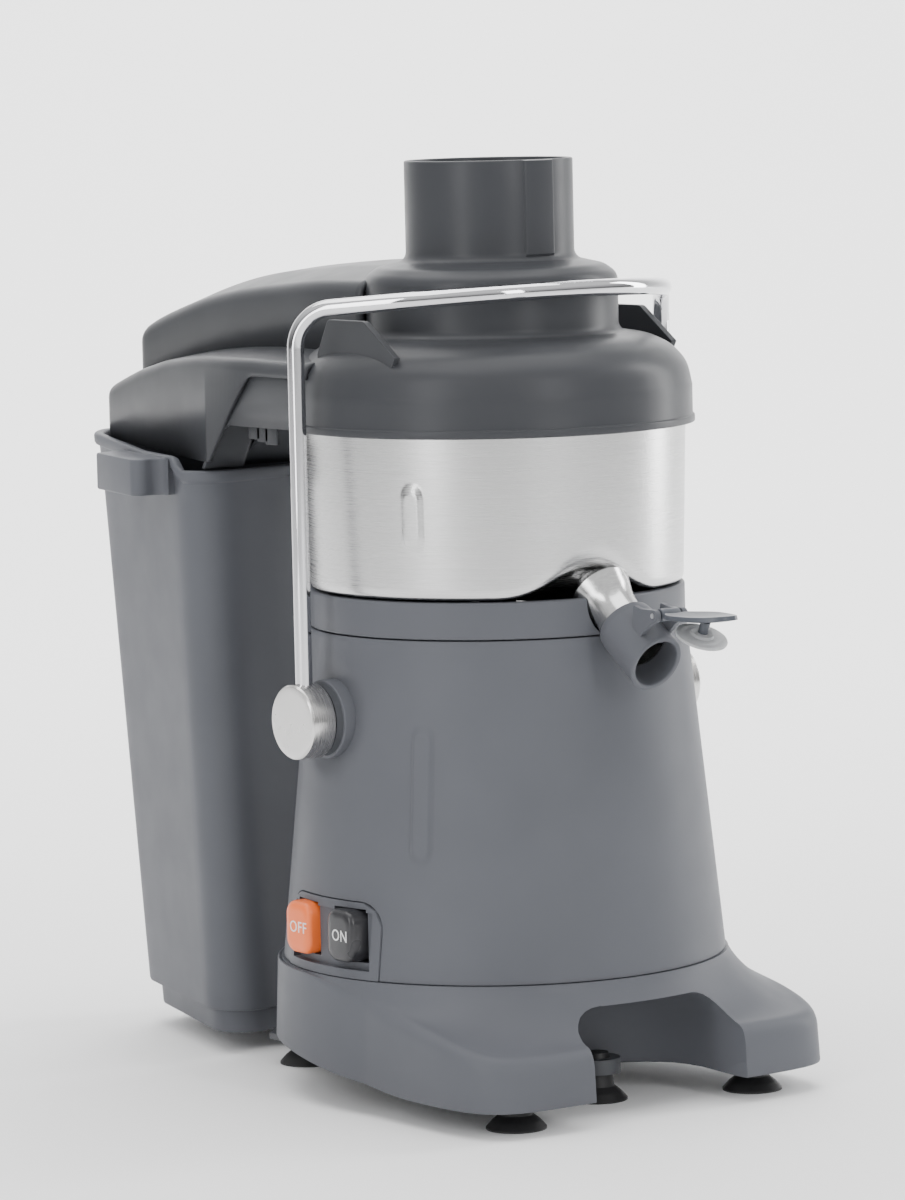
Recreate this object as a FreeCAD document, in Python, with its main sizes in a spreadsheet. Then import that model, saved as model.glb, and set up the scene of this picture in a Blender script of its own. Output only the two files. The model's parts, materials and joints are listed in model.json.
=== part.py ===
import FreeCAD, Part
import math
import os

import Sketcher
from FreeCAD import Placement, Rotation, Vector

# Centrifugal juicer with a whole-fruit feed tube, a steel juice bowl, a locking bail and a pulp bin.
# Millimetres. +Z is up, the juice spout points to -Y, the pulp bin stands at +Y and the switches
# are on the -X side. Every outline below is drawn about the upright drive axis, and each sub-part's
# placement then moves it by axis_y, so that the origin is the middle of the whole footprint.

SIZES = {
    "axis_y": -43.7,
    # levels above the surface that the juicer stands on
    "plate_low": 13, "plate_top": 16, "tongue_low": 6, "base_low": 12, "base_top": 62.7,
    "housing_top": 220, "collar_top": 238, "bowl_top": 313, "deck_level": 356.5,
    "tower_top": 391.5, "tube_top": 438.5,
    # radii of the upright stack
    "skirt_radius": 110, "seam_radius": 106.6, "housing_low_radius": 105.4,
    "housing_high_radius": 89.3, "collar_radius": 89, "bowl_low_radius": 88.4,
    "bowl_high_radius": 90.6, "lid_radius": 95.2, "dome_radius": 94.2, "tower_radius": 60,
    "tube_radius": 39.8, "tube_bore": 37.5, "well_radius": 34,
    # the lid's hood and the foot of its feed tube
    "tube_low": 302, "lid_split_y": 64, "lid_mouth_y": 94.4, "upper_hood_y": 243,
    "lower_hood_y": 252, "lower_hood_rear": 59.5, "hood_foot": 299.5,
    # walls
    "plastic": 2.6, "steel": 1.0,
    # toes and the recess for the glass
    "toe_half_width": 105, "toe_reach": 128.5, "toe_tip_height": 28, "recess_half_width": 44,
    "recess_roof": 52, "recess_centre": 103,
    # suction feet
    "foot_radius": 14, "foot_neck": 4, "foot_front_x": 69.1, "foot_front_y": 100.4,
    "foot_rear_x": 48.8, "foot_rear_y": 97.1, "foot_centre_y": 71.1,
    # bail and its pivots
    "pivot_y": 7.3, "pivot_level": 181, "knob_radius": 17.5, "knob_inner": 101, "knob_outer": 114.4,
    "bolt_radius": 3, "bail_half_width": 107, "bail_rod": 4, "bail_shoulder": 371.7,
    "bail_crown": 379, "bail_reach": 75.5, "bail_bow": 52, "bail_bend": 19, "bail_foot": 188.2,
    # spout, its sleeve and its flap
    "spout_radius": 11, "spout_bore": 10, "spout_fall": 36, "mouth_y": 122, "mouth_level": 209,
    "sleeve_radius": 14, "sleeve_bore": 10.4, "mouth_tilt": 24, "hinge_y": 131.5,
    "hinge_level": 232.5, "hinge_pin": 1.2, "flap_tip_y": 177, "seal_radius": 12.2,
    # switches
    "panel_half_width": 36, "panel_top": 98.3, "button_y": 17, "button_width": 20,
    "button_height": 24.6, "button_low": 70.6, "button_face": 108.3, "panel_floor": 101.8,
    # drive
    "shaft_radius": 4, "rotor_radius": 26, "rotor_low": 105, "rotor_high": 158,
    "stator_radius": 52, "basket_low": 248, "basket_high": 301, "basket_radius": 70,
    # pulp bin
    "bin_low": 10, "bin_step": 22, "bin_rim": 297, "bin_front_rim": 290.5, "bin_wall": 2.2,
    # screws
    "screw_radius": 1.6,
}


class Size:
    """A length that carries both its value and the spreadsheet formula that it comes from."""

    def __init__(self, value, formula):
        self.value = float(value)
        self.formula = formula

    def joined(self, other, sign, value):
        text = other.formula if isinstance(other, Size) else repr(float(other))
        return Size(value, f"({self.formula} {sign} {text})")

    def __add__(self, other):
        return self.joined(other, "+", self.value + number(other))

    def __sub__(self, other):
        return self.joined(other, "-", self.value - number(other))

    def __mul__(self, other):
        return self.joined(other, "*", self.value * number(other))

    def __neg__(self):
        return self * -1

    def __radd__(self, other):
        return self + other

    def __rmul__(self, other):
        return self * other

    def __rsub__(self, other):
        return (self * -1) + other


def number(size):
    return size.value if isinstance(size, Size) else float(size)


def bind(thing, property_name, size):
    """Sets a property to a size, by its formula where it has one."""
    if isinstance(size, Size):
        thing.setExpression(property_name, size.formula)
    else:
        path = property_name.split(".")
        if len(path) == 1:
            setattr(thing, property_name, size)


doc = FreeCAD.newDocument("juicer")
sheet = doc.addObject("Spreadsheet::Sheet", "sizes")
for row, (alias, value) in enumerate(SIZES.items(), start=1):
    sheet.set(f"A{row}", alias)
    sheet.set(f"B{row}", str(value))
    sheet.setAlias(f"B{row}", alias)
doc.recompute()


class Sheet:
    """Gives each cell of the sheet as a Size, by its alias."""

    def __getattr__(self, alias):
        return Size(sheet.get(alias), f"sizes.{alias}")


S = Sheet()
SUB_PARTS = []
PLACES = {}


def sub_part(label, thing):
    """Names a finished sub-part, moves it to the model's frame and keeps it for writing."""
    thing.Label = label
    thing.setExpression("Placement.Base.y", (S.axis_y + PLACES.get(thing.Name, 0)).formula)
    SUB_PARTS.append(thing)
    return thing


# ---------------------------------------------------------------- solids from sketches


def origin_plane(body, role):
    for feature in body.Origin.OriginFeatures:
        if feature.Role == role:
            return feature
    raise ValueError(role)


def sketch(body, role, outline, offset=None):
    """A closed sketch of straight lines, each corner held by two formulas."""
    drawing = body.newObject("Sketcher::SketchObject", f"{body.Name}_sketch")
    drawing.AttachmentSupport = [(origin_plane(body, role), "")]
    drawing.MapMode = "FlatFace"
    if offset is not None:
        drawing.AttachmentOffset = Placement(Vector(0, 0, number(offset)), Rotation())
        bind(drawing, "AttachmentOffset.Base.z", offset)
    count = len(outline)
    corners = [Vector(number(across), number(up), 0) for across, up in outline]
    for index in range(count):
        drawing.addGeometry(Part.LineSegment(corners[index], corners[(index + 1) % count]), False)
    for index in range(count):
        drawing.addConstraint(Sketcher.Constraint("Coincident", index, 2, (index + 1) % count, 1))
    for index, corner in enumerate(outline):
        for kind, length in zip(("DistanceX", "DistanceY"), corner):
            made = drawing.addConstraint(Sketcher.Constraint(kind, -1, 1, index, 1, number(length)))
            if isinstance(length, Size):
                drawing.setExpression(f"Constraints[{made}]", length.formula)
    return drawing


def turned(name, outline):
    """A body turned about the upright axis from an outline of (radius, level) corners."""
    body = doc.addObject("PartDesign::Body", name)
    drawing = sketch(body, "XZ_Plane", outline)
    feature = body.newObject("PartDesign::Revolution", f"{name}_turned")
    feature.Profile = drawing
    feature.ReferenceAxis = (drawing, ["V_Axis"])
    feature.Angle = 360
    return body


def raised(name, role, outline, length, offset=None, both=False, back=False):
    """A body padded from an outline on one of its own origin planes."""
    body = doc.addObject("PartDesign::Body", name)
    drawing = sketch(body, role, outline, offset)
    feature = body.newObject("PartDesign::Pad", f"{name}_pad")
    feature.Profile = drawing
    feature.Midplane = both
    feature.Reversed = back
    bind(feature, "Length", length)
    return body


def block(low_x, high_x, low_y, high_y):
    return [(low_x, low_y), (high_x, low_y), (high_x, high_y), (low_x, high_y)]


def rounded(body, radius, chosen, kind="PartDesign::Fillet"):
    """Rounds the edges of a body for which chosen(edge) is true."""
    doc.recompute()
    tip = body.Tip
    names = [f"Edge{i}" for i, edge in enumerate(tip.Shape.Edges, 1) if chosen(edge)]
    feature = body.newObject(kind, f"{body.Name}_{kind[-7:].strip(':').lower()}")
    feature.Base = (tip, names)
    bind(feature, "Radius" if kind.endswith("Fillet") else "Size", radius)
    return body


def upright(edge):
    box = edge.BoundBox
    return box.ZLength > 1 and box.XLength < 0.01 and box.YLength < 0.01


def along_y(edge):
    box = edge.BoundBox
    return box.YLength > 1 and box.XLength < 0.01 and box.ZLength < 0.01


def along_x(edge):
    box = edge.BoundBox
    return box.XLength > 1 and box.YLength < 0.01 and box.ZLength < 0.01


# ---------------------------------------------------------------- primitives and booleans


def placed(thing, place, direction):
    turn = Rotation(Vector(0, 0, 1), Vector(*direction))
    thing.Placement = Placement(Vector(*[number(value) for value in place]), turn)
    PLACES[thing.Name] = place[1]
    for axis, value in zip("xyz", place):
        bind(thing, f"Placement.Base.{axis}", value)
    return thing


def rod(name, radius, length, place, direction=(0, 0, 1)):
    thing = doc.addObject("Part::Cylinder", name)
    bind(thing, "Radius", radius)
    bind(thing, "Height", length)
    return placed(thing, place, direction)


def cone(name, low_radius, high_radius, height, place, direction=(0, 0, 1)):
    thing = doc.addObject("Part::Cone", name)
    bind(thing, "Radius1", low_radius)
    bind(thing, "Radius2", high_radius)
    bind(thing, "Height", height)
    return placed(thing, place, direction)


def box(name, low, high):
    """A box between two corners."""
    thing = doc.addObject("Part::Box", name)
    for side, start, end in zip(("Length", "Width", "Height"), low, high):
        bind(thing, side, end - start)
    return placed(thing, low, (0, 0, 1))


def cut(name, base, *tools):
    thing = doc.addObject("Part::Cut", name)
    thing.Base = base
    thing.Tool = tools[0] if len(tools) == 1 else joined(f"{name}_tools", *tools)
    thing.Refine = True
    return thing


def joined(name, *things):
    thing = doc.addObject("Part::MultiFuse", name)
    thing.Shapes = list(things)
    thing.Refine = True
    return thing


def common(name, *things):
    thing = doc.addObject("Part::MultiCommon", name)
    thing.Shapes = list(things)
    thing.Refine = True
    return thing


def group(name, *things):
    """Separate solids kept as one node, such as a set of screws."""
    thing = doc.addObject("Part::Compound", name)
    thing.Links = list(things)
    return thing


def modelled(name, shape):
    thing = doc.addObject("Part::Feature", name)
    thing.Shape = shape
    return thing


# ---------------------------------------------------------------- free-form helpers


def unit(vector):
    return Vector(vector).normalize()


def rounded_path(points, radii, closed=False):
    """Edges along straight runs, with a tangent arc of the given radius at each inner point."""
    count = len(points)
    marks = []
    for index, point in enumerate(points):
        radius = radii[index]
        if radius <= 0 or (not closed and index in (0, count - 1)):
            marks.append((point, None, point))
            continue
        back = unit(points[index - 1] - point)
        ahead = unit(points[(index + 1) % count] - point)
        half = math.acos(max(-1.0, min(1.0, back.dot(ahead)))) / 2
        reach = radius / math.tan(half)
        inward = unit(back + ahead)
        middle = point + inward * (radius / math.sin(half) - radius)
        marks.append((point + back * reach, middle, point + ahead * reach))
    edges = []
    for index, (start, middle, end) in enumerate(marks):
        if middle is not None:
            edges.append(Part.Arc(start, middle, end).toShape())
        if index < count - 1 or closed:
            following = marks[(index + 1) % count][0]
            if end.distanceToPoint(following) > 1e-4:
                edges.append(Part.LineSegment(end, following).toShape())
    return Part.Wire(edges)


def bent_rod(points, radii, radius):
    """A round rod along a rounded path."""
    path = rounded_path(points, radii)
    start = points[0]
    along = unit(points[1] - points[0])
    ring = Part.Wire([Part.Circle(start, along, radius).toShape()])
    return path.makePipeShell([ring], True, True)


def outline_face(points, radii, level):
    """A flat face at a level, bounded by a rounded polygon."""
    raised_points = [Vector(across, along, level) for across, along in points]
    return Part.Face(rounded_path(raised_points, radii, closed=True))


def mirrored_outline(half):
    """A polygon symmetric about the Y axis, from its +X half listed from front to back."""
    return half + [(-across, along) for across, along in reversed(half)]


def prism(points, radii, low, high):
    return outline_face(points, radii, low).extrude(Vector(0, 0, high - low))


def side_prism(points, half_width):
    """A solid of a (y, z) outline, spread to both sides of the middle plane."""
    corners = [Vector(-half_width, along, level) for along, level in points]
    return Part.Face(Part.makePolygon(corners + [corners[0]])).extrude(Vector(2 * half_width, 0, 0))


# ---------------------------------------------------------------- base


def make_base_shell():
    """A hollow ring with two toes in front, and an arched recess between them for the glass."""
    low = S.base_low
    top = S.base_top
    ring = turned("base_ring", [(0, low), (S.skirt_radius, low), (S.seam_radius, top), (0, top)])
    reach = S.toe_reach
    slope = [
        (-reach, low), (-reach, S.toe_tip_height), (-reach + 8, S.toe_tip_height + 8),
        (-reach + 25, S.toe_tip_height + 17), (-reach + 46, S.toe_tip_height + 27),
        (-reach + 68, top), (0, top), (0, low),
    ]
    wide = S.toe_half_width
    inner = S.recess_half_width
    plan = [
        (-wide + 4, 0), (-wide - 2, -40), (-wide + 2, -84), (-wide + 10, -112), (-wide + 22, -reach),
        (-inner - 14, -reach), (-inner, -117), (-inner, -60), (inner, -60), (inner, -117),
        (inner + 14, -reach), (wide - 22, -reach), (wide - 10, -112), (wide - 2, -84),
        (wide + 2, -40), (wide - 4, 0),
    ]
    toes = common(
        "toes",
        raised("toe_side", "YZ_Plane", slope, S.toe_half_width * 2.2, both=True),
        raised("toe_plan", "XY_Plane", plan, S.base_top),
    )
    solid = joined("base_solid", ring, toes)

    wall = S.plastic
    bore = turned("base_bore", [
        (0, 5), (S.skirt_radius - wall, 5), (S.skirt_radius - wall, low),
        (S.seam_radius - wall, top - wall), (S.housing_low_radius - 12, top - wall),
        (S.housing_low_radius - 12, top + 5), (0, top + 5),
    ])
    toe_slope = [
        (-reach + wall, 5), (-reach + wall, S.toe_tip_height - 2), (-reach + 10, S.toe_tip_height + 4.5),
        (-reach + 27, S.toe_tip_height + 13.5), (-reach + 48, S.toe_tip_height + 23.5),
        (-70, top - 6), (0, top - 6), (0, 5),
    ]
    toe_plan = [
        (-wide + 7, 0), (-wide + 1, -40), (-wide + 5, -83), (-wide + 13, -110), (-wide + 24, -reach + wall),
        (-inner - 15, -reach + wall), (-inner - wall, -115), (-inner - wall, -60), (inner + wall, -60),
        (inner + wall, -115), (inner + 15, -reach + wall), (wide - 24, -reach + wall), (wide - 13, -110),
        (wide - 5, -83), (wide - 1, -40), (wide - 7, 0),
    ]
    toe_bore = common(
        "toe_bore",
        raised("toe_bore_side", "YZ_Plane", toe_slope, S.toe_half_width * 2.2, both=True),
        raised("toe_bore_plan", "XY_Plane", toe_plan, S.base_top),
    )
    recess_wall = joined(
        "recess_wall",
        box("recess_wall_front", (-inner - wall, -140, 0), (inner + wall, -S.recess_centre, S.recess_roof + wall)),
        rod("recess_wall_back", inner + wall, S.recess_roof + wall, (0, -S.recess_centre, 0)),
    )
    hollow = cut("base_hollow", joined("base_inside", bore, toe_bore), recess_wall)
    recess = joined(
        "recess",
        rounded(
            raised("recess_front", "XZ_Plane", block(-inner, inner, -1, S.recess_roof), S.recess_centre),
            12, lambda edge: along_y(edge) and edge.BoundBox.ZMin > 10,
        ),
        rod("recess_back", inner, S.recess_roof, (0, -S.recess_centre, 0)),
    )
    recess_clear = box("recess_clear", (-inner, -140, -1), (inner, -S.recess_centre, 40))
    recess_top = raised(
        "recess_top", "XZ_Plane",
        [(-inner, 30), (inner, 30), (inner, S.recess_roof - 9), (inner - 9, S.recess_roof),
         (-inner + 9, S.recess_roof), (-inner, S.recess_roof - 9)],
        140,
    )
    rear_lift = raised(
        "rear_lift", "YZ_Plane", [(-30, 0), (130, 0), (130, 26), (58, 24), (0, 15), (-30, 11.9)],
        260, both=True,
    )
    bosses = []
    for index, (across, along) in enumerate(PLATE_SCREWS):
        bosses.append(rod(f"base_boss_{index}", 5, top - S.plate_top - 1, (across, along, S.plate_top)))
    walls = cut("base_walls", solid, hollow, recess, recess_clear, recess_top, rear_lift)
    boss_bores = [
        rod(f"base_boss_bore_{index}", S.screw_radius, 20, (across, along, low - 1))
        for index, (across, along) in enumerate(PLATE_SCREWS)
    ]
    inlet = rod("inlet_bore", 5.6, 20, (0, 95, 40), (0, 1, 0))
    shell = cut("base_shell", joined("base_bossed", walls, *bosses), inlet, *boss_bores)
    return sub_part("base_shell", shell)


PLATE_SCREWS = [(72, 50), (-72, 50), (78, -42), (-78, -42)]


def foot_places():
    """Name, x, y and the level of the top of the plate or boss for each suction foot."""
    return [
        ("foot_front_left", -S.foot_front_x, -S.foot_front_y, S.plate_top),
        ("foot_front_right", S.foot_front_x, -S.foot_front_y, S.plate_top),
        ("foot_front_centre", 0, -S.foot_centre_y, S.plate_top + 4),
        ("foot_rear_left", -S.foot_rear_x, S.foot_rear_y, S.plate_top),
        ("foot_rear_right", S.foot_rear_x, S.foot_rear_y, S.plate_top),
    ]


def make_bottom_plate():
    """A dark plate that closes the base, with rear lugs for two feet and a tongue under the bin."""
    low = S.plate_low
    thick = S.plate_top - S.plate_low
    inner = S.recess_half_width
    disc = rod("plate_disc", S.skirt_radius - 20, thick, (0, 0, low))
    wide = S.toe_half_width
    reach = S.toe_reach
    toes = raised("plate_toes", "XY_Plane", [
        (-wide + 20, -30), (-wide + 20, -81), (-wide + 26, -106), (-wide + 34, -reach + 14),
        (wide - 34, -reach + 14), (wide - 26, -106), (wide - 20, -81), (wide - 20, -30),
    ], thick, offset=low)
    lugs = raised("plate_lugs", "XY_Plane", [
        (-67, 50), (-67, 104), (-58, 113), (58, 113), (67, 104), (67, 50),
    ], thick, offset=low)
    notch = joined(
        "plate_notch",
        box("plate_notch_front", (-inner - 3.2, -140, 0), (inner + 3.2, -S.recess_centre, 30)),
        rod("plate_notch_back", inner + 3.2, 30, (0, -S.recess_centre, 0)),
    )
    tongue = raised("plate_tongue", "XY_Plane", [
        (-22, 60), (-22, 208), (-14, 216), (14, 216), (22, 208), (22, 60),
    ], 3.4, offset=S.tongue_low)
    boss = joined(
        "plate_boss",
        box("plate_riser", (-22, 60, S.tongue_low), (22, 66, S.plate_top)),
        rod("plate_boss_round", 11, thick + 4, (0, -S.foot_centre_y, low)),
        box("plate_boss_neck", (-11, -S.foot_centre_y, low), (11, -50, low + thick)),
    )
    holes = [
        rod(f"{name}_hole", S.foot_neck + 0.05, 20, (across, along, low - 5))
        for name, across, along, _ in foot_places()
    ]
    holes += [
        rod(f"plate_screw_hole_{index}", S.screw_radius + 0.1, 20, (across, along, low - 5))
        for index, (across, along) in enumerate(PLATE_SCREWS)
    ]
    holes += [
        box(f"plate_vent_{index}", (-30, 12 * index - 30, low - 5), (30, 12 * index - 26, low + 5))
        for index in range(5)
    ]
    sheet_metal = cut("plate_outline", joined("plate_blank", disc, toes, lugs, tongue), notch)
    return sub_part("bottom_plate", cut("bottom_plate", joined("plate_whole", sheet_metal, boss), *holes))


def make_feet():
    """Suction cups: a thin bell, a neck through the plate and a barbed head above it."""
    for name, across, along, top in foot_places():
        low = S.plate_low
        bell = turned(name, [
            (0, 5), (5, 4.6), (9.5, 2.6), (12.6, 0), (S.foot_radius, 0), (S.foot_radius, 0.9),
            (11.2, 4), (8, 6.6), (7, low), (S.foot_neck, low), (S.foot_neck, top), (6, top), (5.2, top + 2.4),
            (0, top + 2.4),
        ])
        bell.Placement = Placement(Vector(number(across), 0, 0), Rotation())
        bind(bell, "Placement.Base.x", across)
        PLACES[bell.Name] = along
        sub_part(name, bell)


def make_plate_screws():
    screws = []
    for index, (across, along) in enumerate(PLATE_SCREWS):
        head = rod(f"plate_screw_head_{index}", 3.4, 1.8, (across, along, S.plate_low - 1.8))
        shank = rod(f"plate_screw_shank_{index}", S.screw_radius, 16, (across, along, S.plate_low - 0.5))
        screws.append(joined(f"plate_screw_{index}", head, shank))
    return sub_part("plate_screws", group("plate_screws", *screws))


def make_cord_inlet():
    """The grommet in the rear wall of the base through which a supply lead would pass."""
    sleeve = rod("inlet_sleeve", 5.6, 12, (0, 98, 40), (0, 1, 0))
    flange_out = rod("inlet_flange_out", 8.5, 2.4, (0, 108.8, 40), (0, 1, 0))
    bore = rod("inlet_hole", 3.4, 40, (0, 90, 40), (0, 1, 0))
    return sub_part("cord_inlet", cut("cord_inlet", joined("inlet_blank", sleeve, flange_out), bore))


# ---------------------------------------------------------------- motor housing


def housing_radius(level):
    """Outer radius of the tapered housing at a level, as a Size."""
    share = (level - SIZES["base_top"]) / (SIZES["housing_top"] - SIZES["base_top"])
    return S.housing_low_radius * (1 - share) + S.housing_high_radius * share


def make_motor_housing():
    """The tapered shell round the motor, with a deck, a coupling well and two pivot bosses."""
    wall = S.plastic
    low = S.base_top
    top = S.housing_top
    shell = turned("housing_wall", [
        (S.housing_low_radius - wall, low), (S.housing_low_radius, low), (S.housing_high_radius, top),
        (S.well_radius, top), (S.well_radius, top - 14), (14, top - 14), (14, top - 17),
        (S.well_radius + wall, top - 17), (S.well_radius + wall, top - 3),
        (S.housing_high_radius - wall, top - 3),
    ])
    pads = []
    bores = []
    for side in (-1, 1):
        pads.append(rod(
            f"pivot_boss_{side + 1}", 15, 9, (88 * side, S.pivot_y, S.pivot_level), (side, 0, 0)))
        bores.append(rod(
            f"pivot_bore_{side + 1}", S.bolt_radius + 0.05, 30, (80 * side, S.pivot_y, S.pivot_level),
            (side, 0, 0)))
    half = S.panel_half_width + 0.2
    window = raised("panel_window", "YZ_Plane", [
        (-half, S.base_top - 1), (half, S.base_top - 1), (half, S.panel_top - 10),
        (half - 4, S.panel_top - 3), (half - 11, S.panel_top + 0.2), (-half + 11, S.panel_top + 0.2),
        (-half + 4, S.panel_top - 3), (-half, S.panel_top - 10),
    ], 40, offset=-120)
    return sub_part("motor_housing", cut(
        "motor_housing", joined("housing_bossed", shell, *pads), window, spout_notch("housing_notch"),
        *bores))


def spout_notch(name):
    """The rounded notch in the front of the housing and its collar that clears the spout."""
    return rod(name, 20.5, 60, (0, -60, S.collar_top), (0, -1, 0))


def make_housing_collar():
    """The band on which the bowl stands, with a rounded notch for the spout."""
    ring = turned("collar_ring", [
        (S.collar_radius - S.plastic, S.housing_top), (S.collar_radius, S.housing_top),
        (S.collar_radius, S.collar_top), (S.collar_radius - S.plastic, S.collar_top),
    ])
    return sub_part("housing_collar", cut("housing_collar", ring, spout_notch("collar_notch")))


def make_switch_panel():
    """A curved bezel with a sunken floor and two windows for the buttons."""
    low = S.base_top + 0.3
    half = S.panel_half_width
    front = raised("panel_outline", "YZ_Plane", [
        (-half, low), (half, low), (half, S.panel_top - 10), (half - 4, S.panel_top - 3.2),
        (half - 11, S.panel_top), (-half + 11, S.panel_top), (-half + 4, S.panel_top - 3.2),
        (-half, S.panel_top - 10),
    ], 40, offset=-120)
    skin = turned("panel_skin", [
        (S.panel_floor - 2.6, 60), (S.housing_low_radius + 0.7, 60),
        (housing_radius(100) + 0.7, 100), (S.panel_floor - 2.6, 100),
    ])
    sunken = common(
        "panel_sunken",
        box("panel_sunken_box", (-120, -31, 67), (-80, 31, 94)),
        turned("panel_sunken_ring", [(S.panel_floor, 60), (125, 60), (125, 100), (S.panel_floor, 100)]),
    )
    windows = []
    for side in (-1, 1):
        middle = S.button_y * side
        spread = S.button_width * 0.5 + 0.3
        windows.append(box(
            f"button_window_{side + 1}", (-120, middle - spread, S.button_low - 0.3),
            (-80, middle + spread, S.button_low + S.button_height + 0.3)))
    return sub_part("switch_panel", cut(
        "switch_panel", common("panel_blank", front, skin), sunken, *windows))


def make_buttons():
    """Two push buttons with rounded caps and a hidden flange that keeps each in its window."""
    for name, side in (("off_button", 1), ("on_button", -1)):
        middle = S.button_y * side
        half = S.button_width * 0.5
        cap_box = raised(
            f"{name}_cap", "YZ_Plane",
            block(middle - half, middle + half, S.button_low, S.button_low + S.button_height),
            30, offset=-123)
        rounded(cap_box, 6, along_x)
        face = turned(f"{name}_face", [(60, 60), (S.button_face, 60), (S.button_face, 105), (60, 105)])
        flange = box(
            f"{name}_flange", (-94.6, middle - half - 1.4, S.button_low - 1.4),
            (-92.4, middle + half + 1.4, S.button_low + S.button_height + 1.4))
        sub_part(name, joined(name, common(f"{name}_curved", cap_box, face), flange))


def make_switch_block():
    """The switch body behind the panel, with one plunger boss for each button."""
    case = box("switch_case", (-84, -27, 68), (-66, 27, 98))
    return sub_part("switch_block", case)


def make_button_springs():
    """A leaf spring behind each button, bent back from the switch body."""
    for name, side in (("off_spring", 1), ("on_spring", -1)):
        middle = number(S.button_y) * side
        foot = Part.makeBox(0.4, 8, 8, Vector(-84.4, middle - 4, 72))
        leaf = Part.makeBox(0.4, 8, 15, Vector(-84.4, middle - 4, 79.6))
        leaf.rotate(Vector(-84.4, middle, 79.6), Vector(0, 1, 0), -17)
        sub_part(name, modelled(name, foot.fuse(leaf)))


# ---------------------------------------------------------------- bail and pivots


def make_bail():
    """A chromed rod: two upright posts, bent over to a bow that passes in front of the tower."""
    wide = number(S.bail_half_width)
    pivot = number(S.pivot_y)
    shoulder = number(S.bail_shoulder)
    crown = number(S.bail_crown)
    front = pivot - number(S.bail_reach)
    bow = number(S.bail_bow)
    points = [
        Vector(-wide, pivot, number(S.bail_foot)), Vector(-wide, pivot, shoulder),
        Vector(-bow, front, crown), Vector(bow, front, crown),
        Vector(wide, pivot, shoulder), Vector(wide, pivot, number(S.bail_foot)),
    ]
    bend = number(S.bail_bend)
    inward = unit(points[1] - points[2])
    half_turn = inward.getAngle(Vector(1, 0, 0)) / 2
    sweep = bow * 0.96 * math.tan(half_turn)
    return sub_part("bail", modelled("bail", bent_rod(
        points, [0, bend, sweep, sweep, bend, 0], number(S.bail_rod))))


def make_knobs():
    for name, side in (("knob_left", -1), ("knob_right", 1)):
        direction = (side, 0, 0)
        depth = S.knob_outer - S.knob_inner
        centre = (S.knob_inner * side, S.pivot_y, S.pivot_level)
        body = rod(f"{name}_body", S.knob_radius, depth - 1, centre, direction)
        bevel = cone(
            f"{name}_bevel", S.knob_radius, S.knob_radius - 1, 1,
            ((S.knob_outer - 1) * side, S.pivot_y, S.pivot_level), direction)
        bolt_bore = rod(f"{name}_bolt_bore", S.bolt_radius + 0.05, 10.5, centre, direction)
        post_bore = rod(
            f"{name}_post_bore", S.bail_rod + 0.02, 30,
            (S.bail_half_width * side, S.pivot_y, S.bail_foot - 0.05))
        sub_part(name, cut(name, joined(f"{name}_blank", body, bevel), bolt_bore, post_bore))


def make_pivot_washers():
    """Dark thrust washers between the housing's bosses and the knobs."""
    washers = []
    for side in (-1, 1):
        disc = rod(f"washer_disc_{side + 1}", S.knob_radius - 0.4, 3.7, (97 * side, S.pivot_y, S.pivot_level),
                   (side, 0, 0))
        hole = rod(f"washer_hole_{side + 1}", S.bolt_radius + 0.05, 10, (95 * side, S.pivot_y, S.pivot_level),
                   (side, 0, 0))
        washers.append(cut(f"washer_{side + 1}", disc, hole))
    return sub_part("pivot_washers", group("pivot_washers", *washers))


def make_pivot_bolts():
    bolts = []
    for side in (-1, 1):
        shank = rod(f"bolt_shank_{side + 1}", S.bolt_radius, 27, (84 * side, S.pivot_y, S.pivot_level),
                    (side, 0, 0))
        head = rod(f"bolt_head_{side + 1}", 6.5, 4, (84 * side, S.pivot_y, S.pivot_level), (side, 0, 0))
        bolts.append(joined(f"bolt_{side + 1}", shank, head))
    return sub_part("pivot_bolts", group("pivot_bolts", *bolts))


# ---------------------------------------------------------------- bowl and spout


def spout_direction():
    """Unit vector down the spout."""
    fall = math.radians(number(S.spout_fall))
    return Vector(0, -math.cos(fall), -math.sin(fall))


def mouth_centre():
    return Vector(0, -number(S.mouth_y), number(S.mouth_level))


def make_bowl():
    """The steel juice bowl: an upright wall, a floor with a chimney, and a hole for the spout."""
    wall = S.steel
    low = S.collar_top + 0.3
    shell = turned("bowl_wall", [
        (S.bowl_low_radius - 4, low), (S.bowl_low_radius - 1, low + 1.4), (S.bowl_low_radius, low + 5),
        (S.bowl_high_radius, S.bowl_top), (S.bowl_high_radius - wall, S.bowl_top),
        (S.bowl_low_radius - wall, low + 5), (S.bowl_low_radius - 5, low + wall),
        (S.well_radius - 4, low + wall + 3), (S.well_radius - 9, low + 9), (S.well_radius - 10, low + 9),
        (S.well_radius - 5, low + 3), (S.well_radius - 4, low + 2),
    ])
    start = mouth_centre() - spout_direction() * 75
    hole = rod("bowl_spout_hole", S.spout_radius + 0.05, 90, tuple(start), tuple(spout_direction()))
    return sub_part("bowl", cut("bowl", shell, hole))


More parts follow.
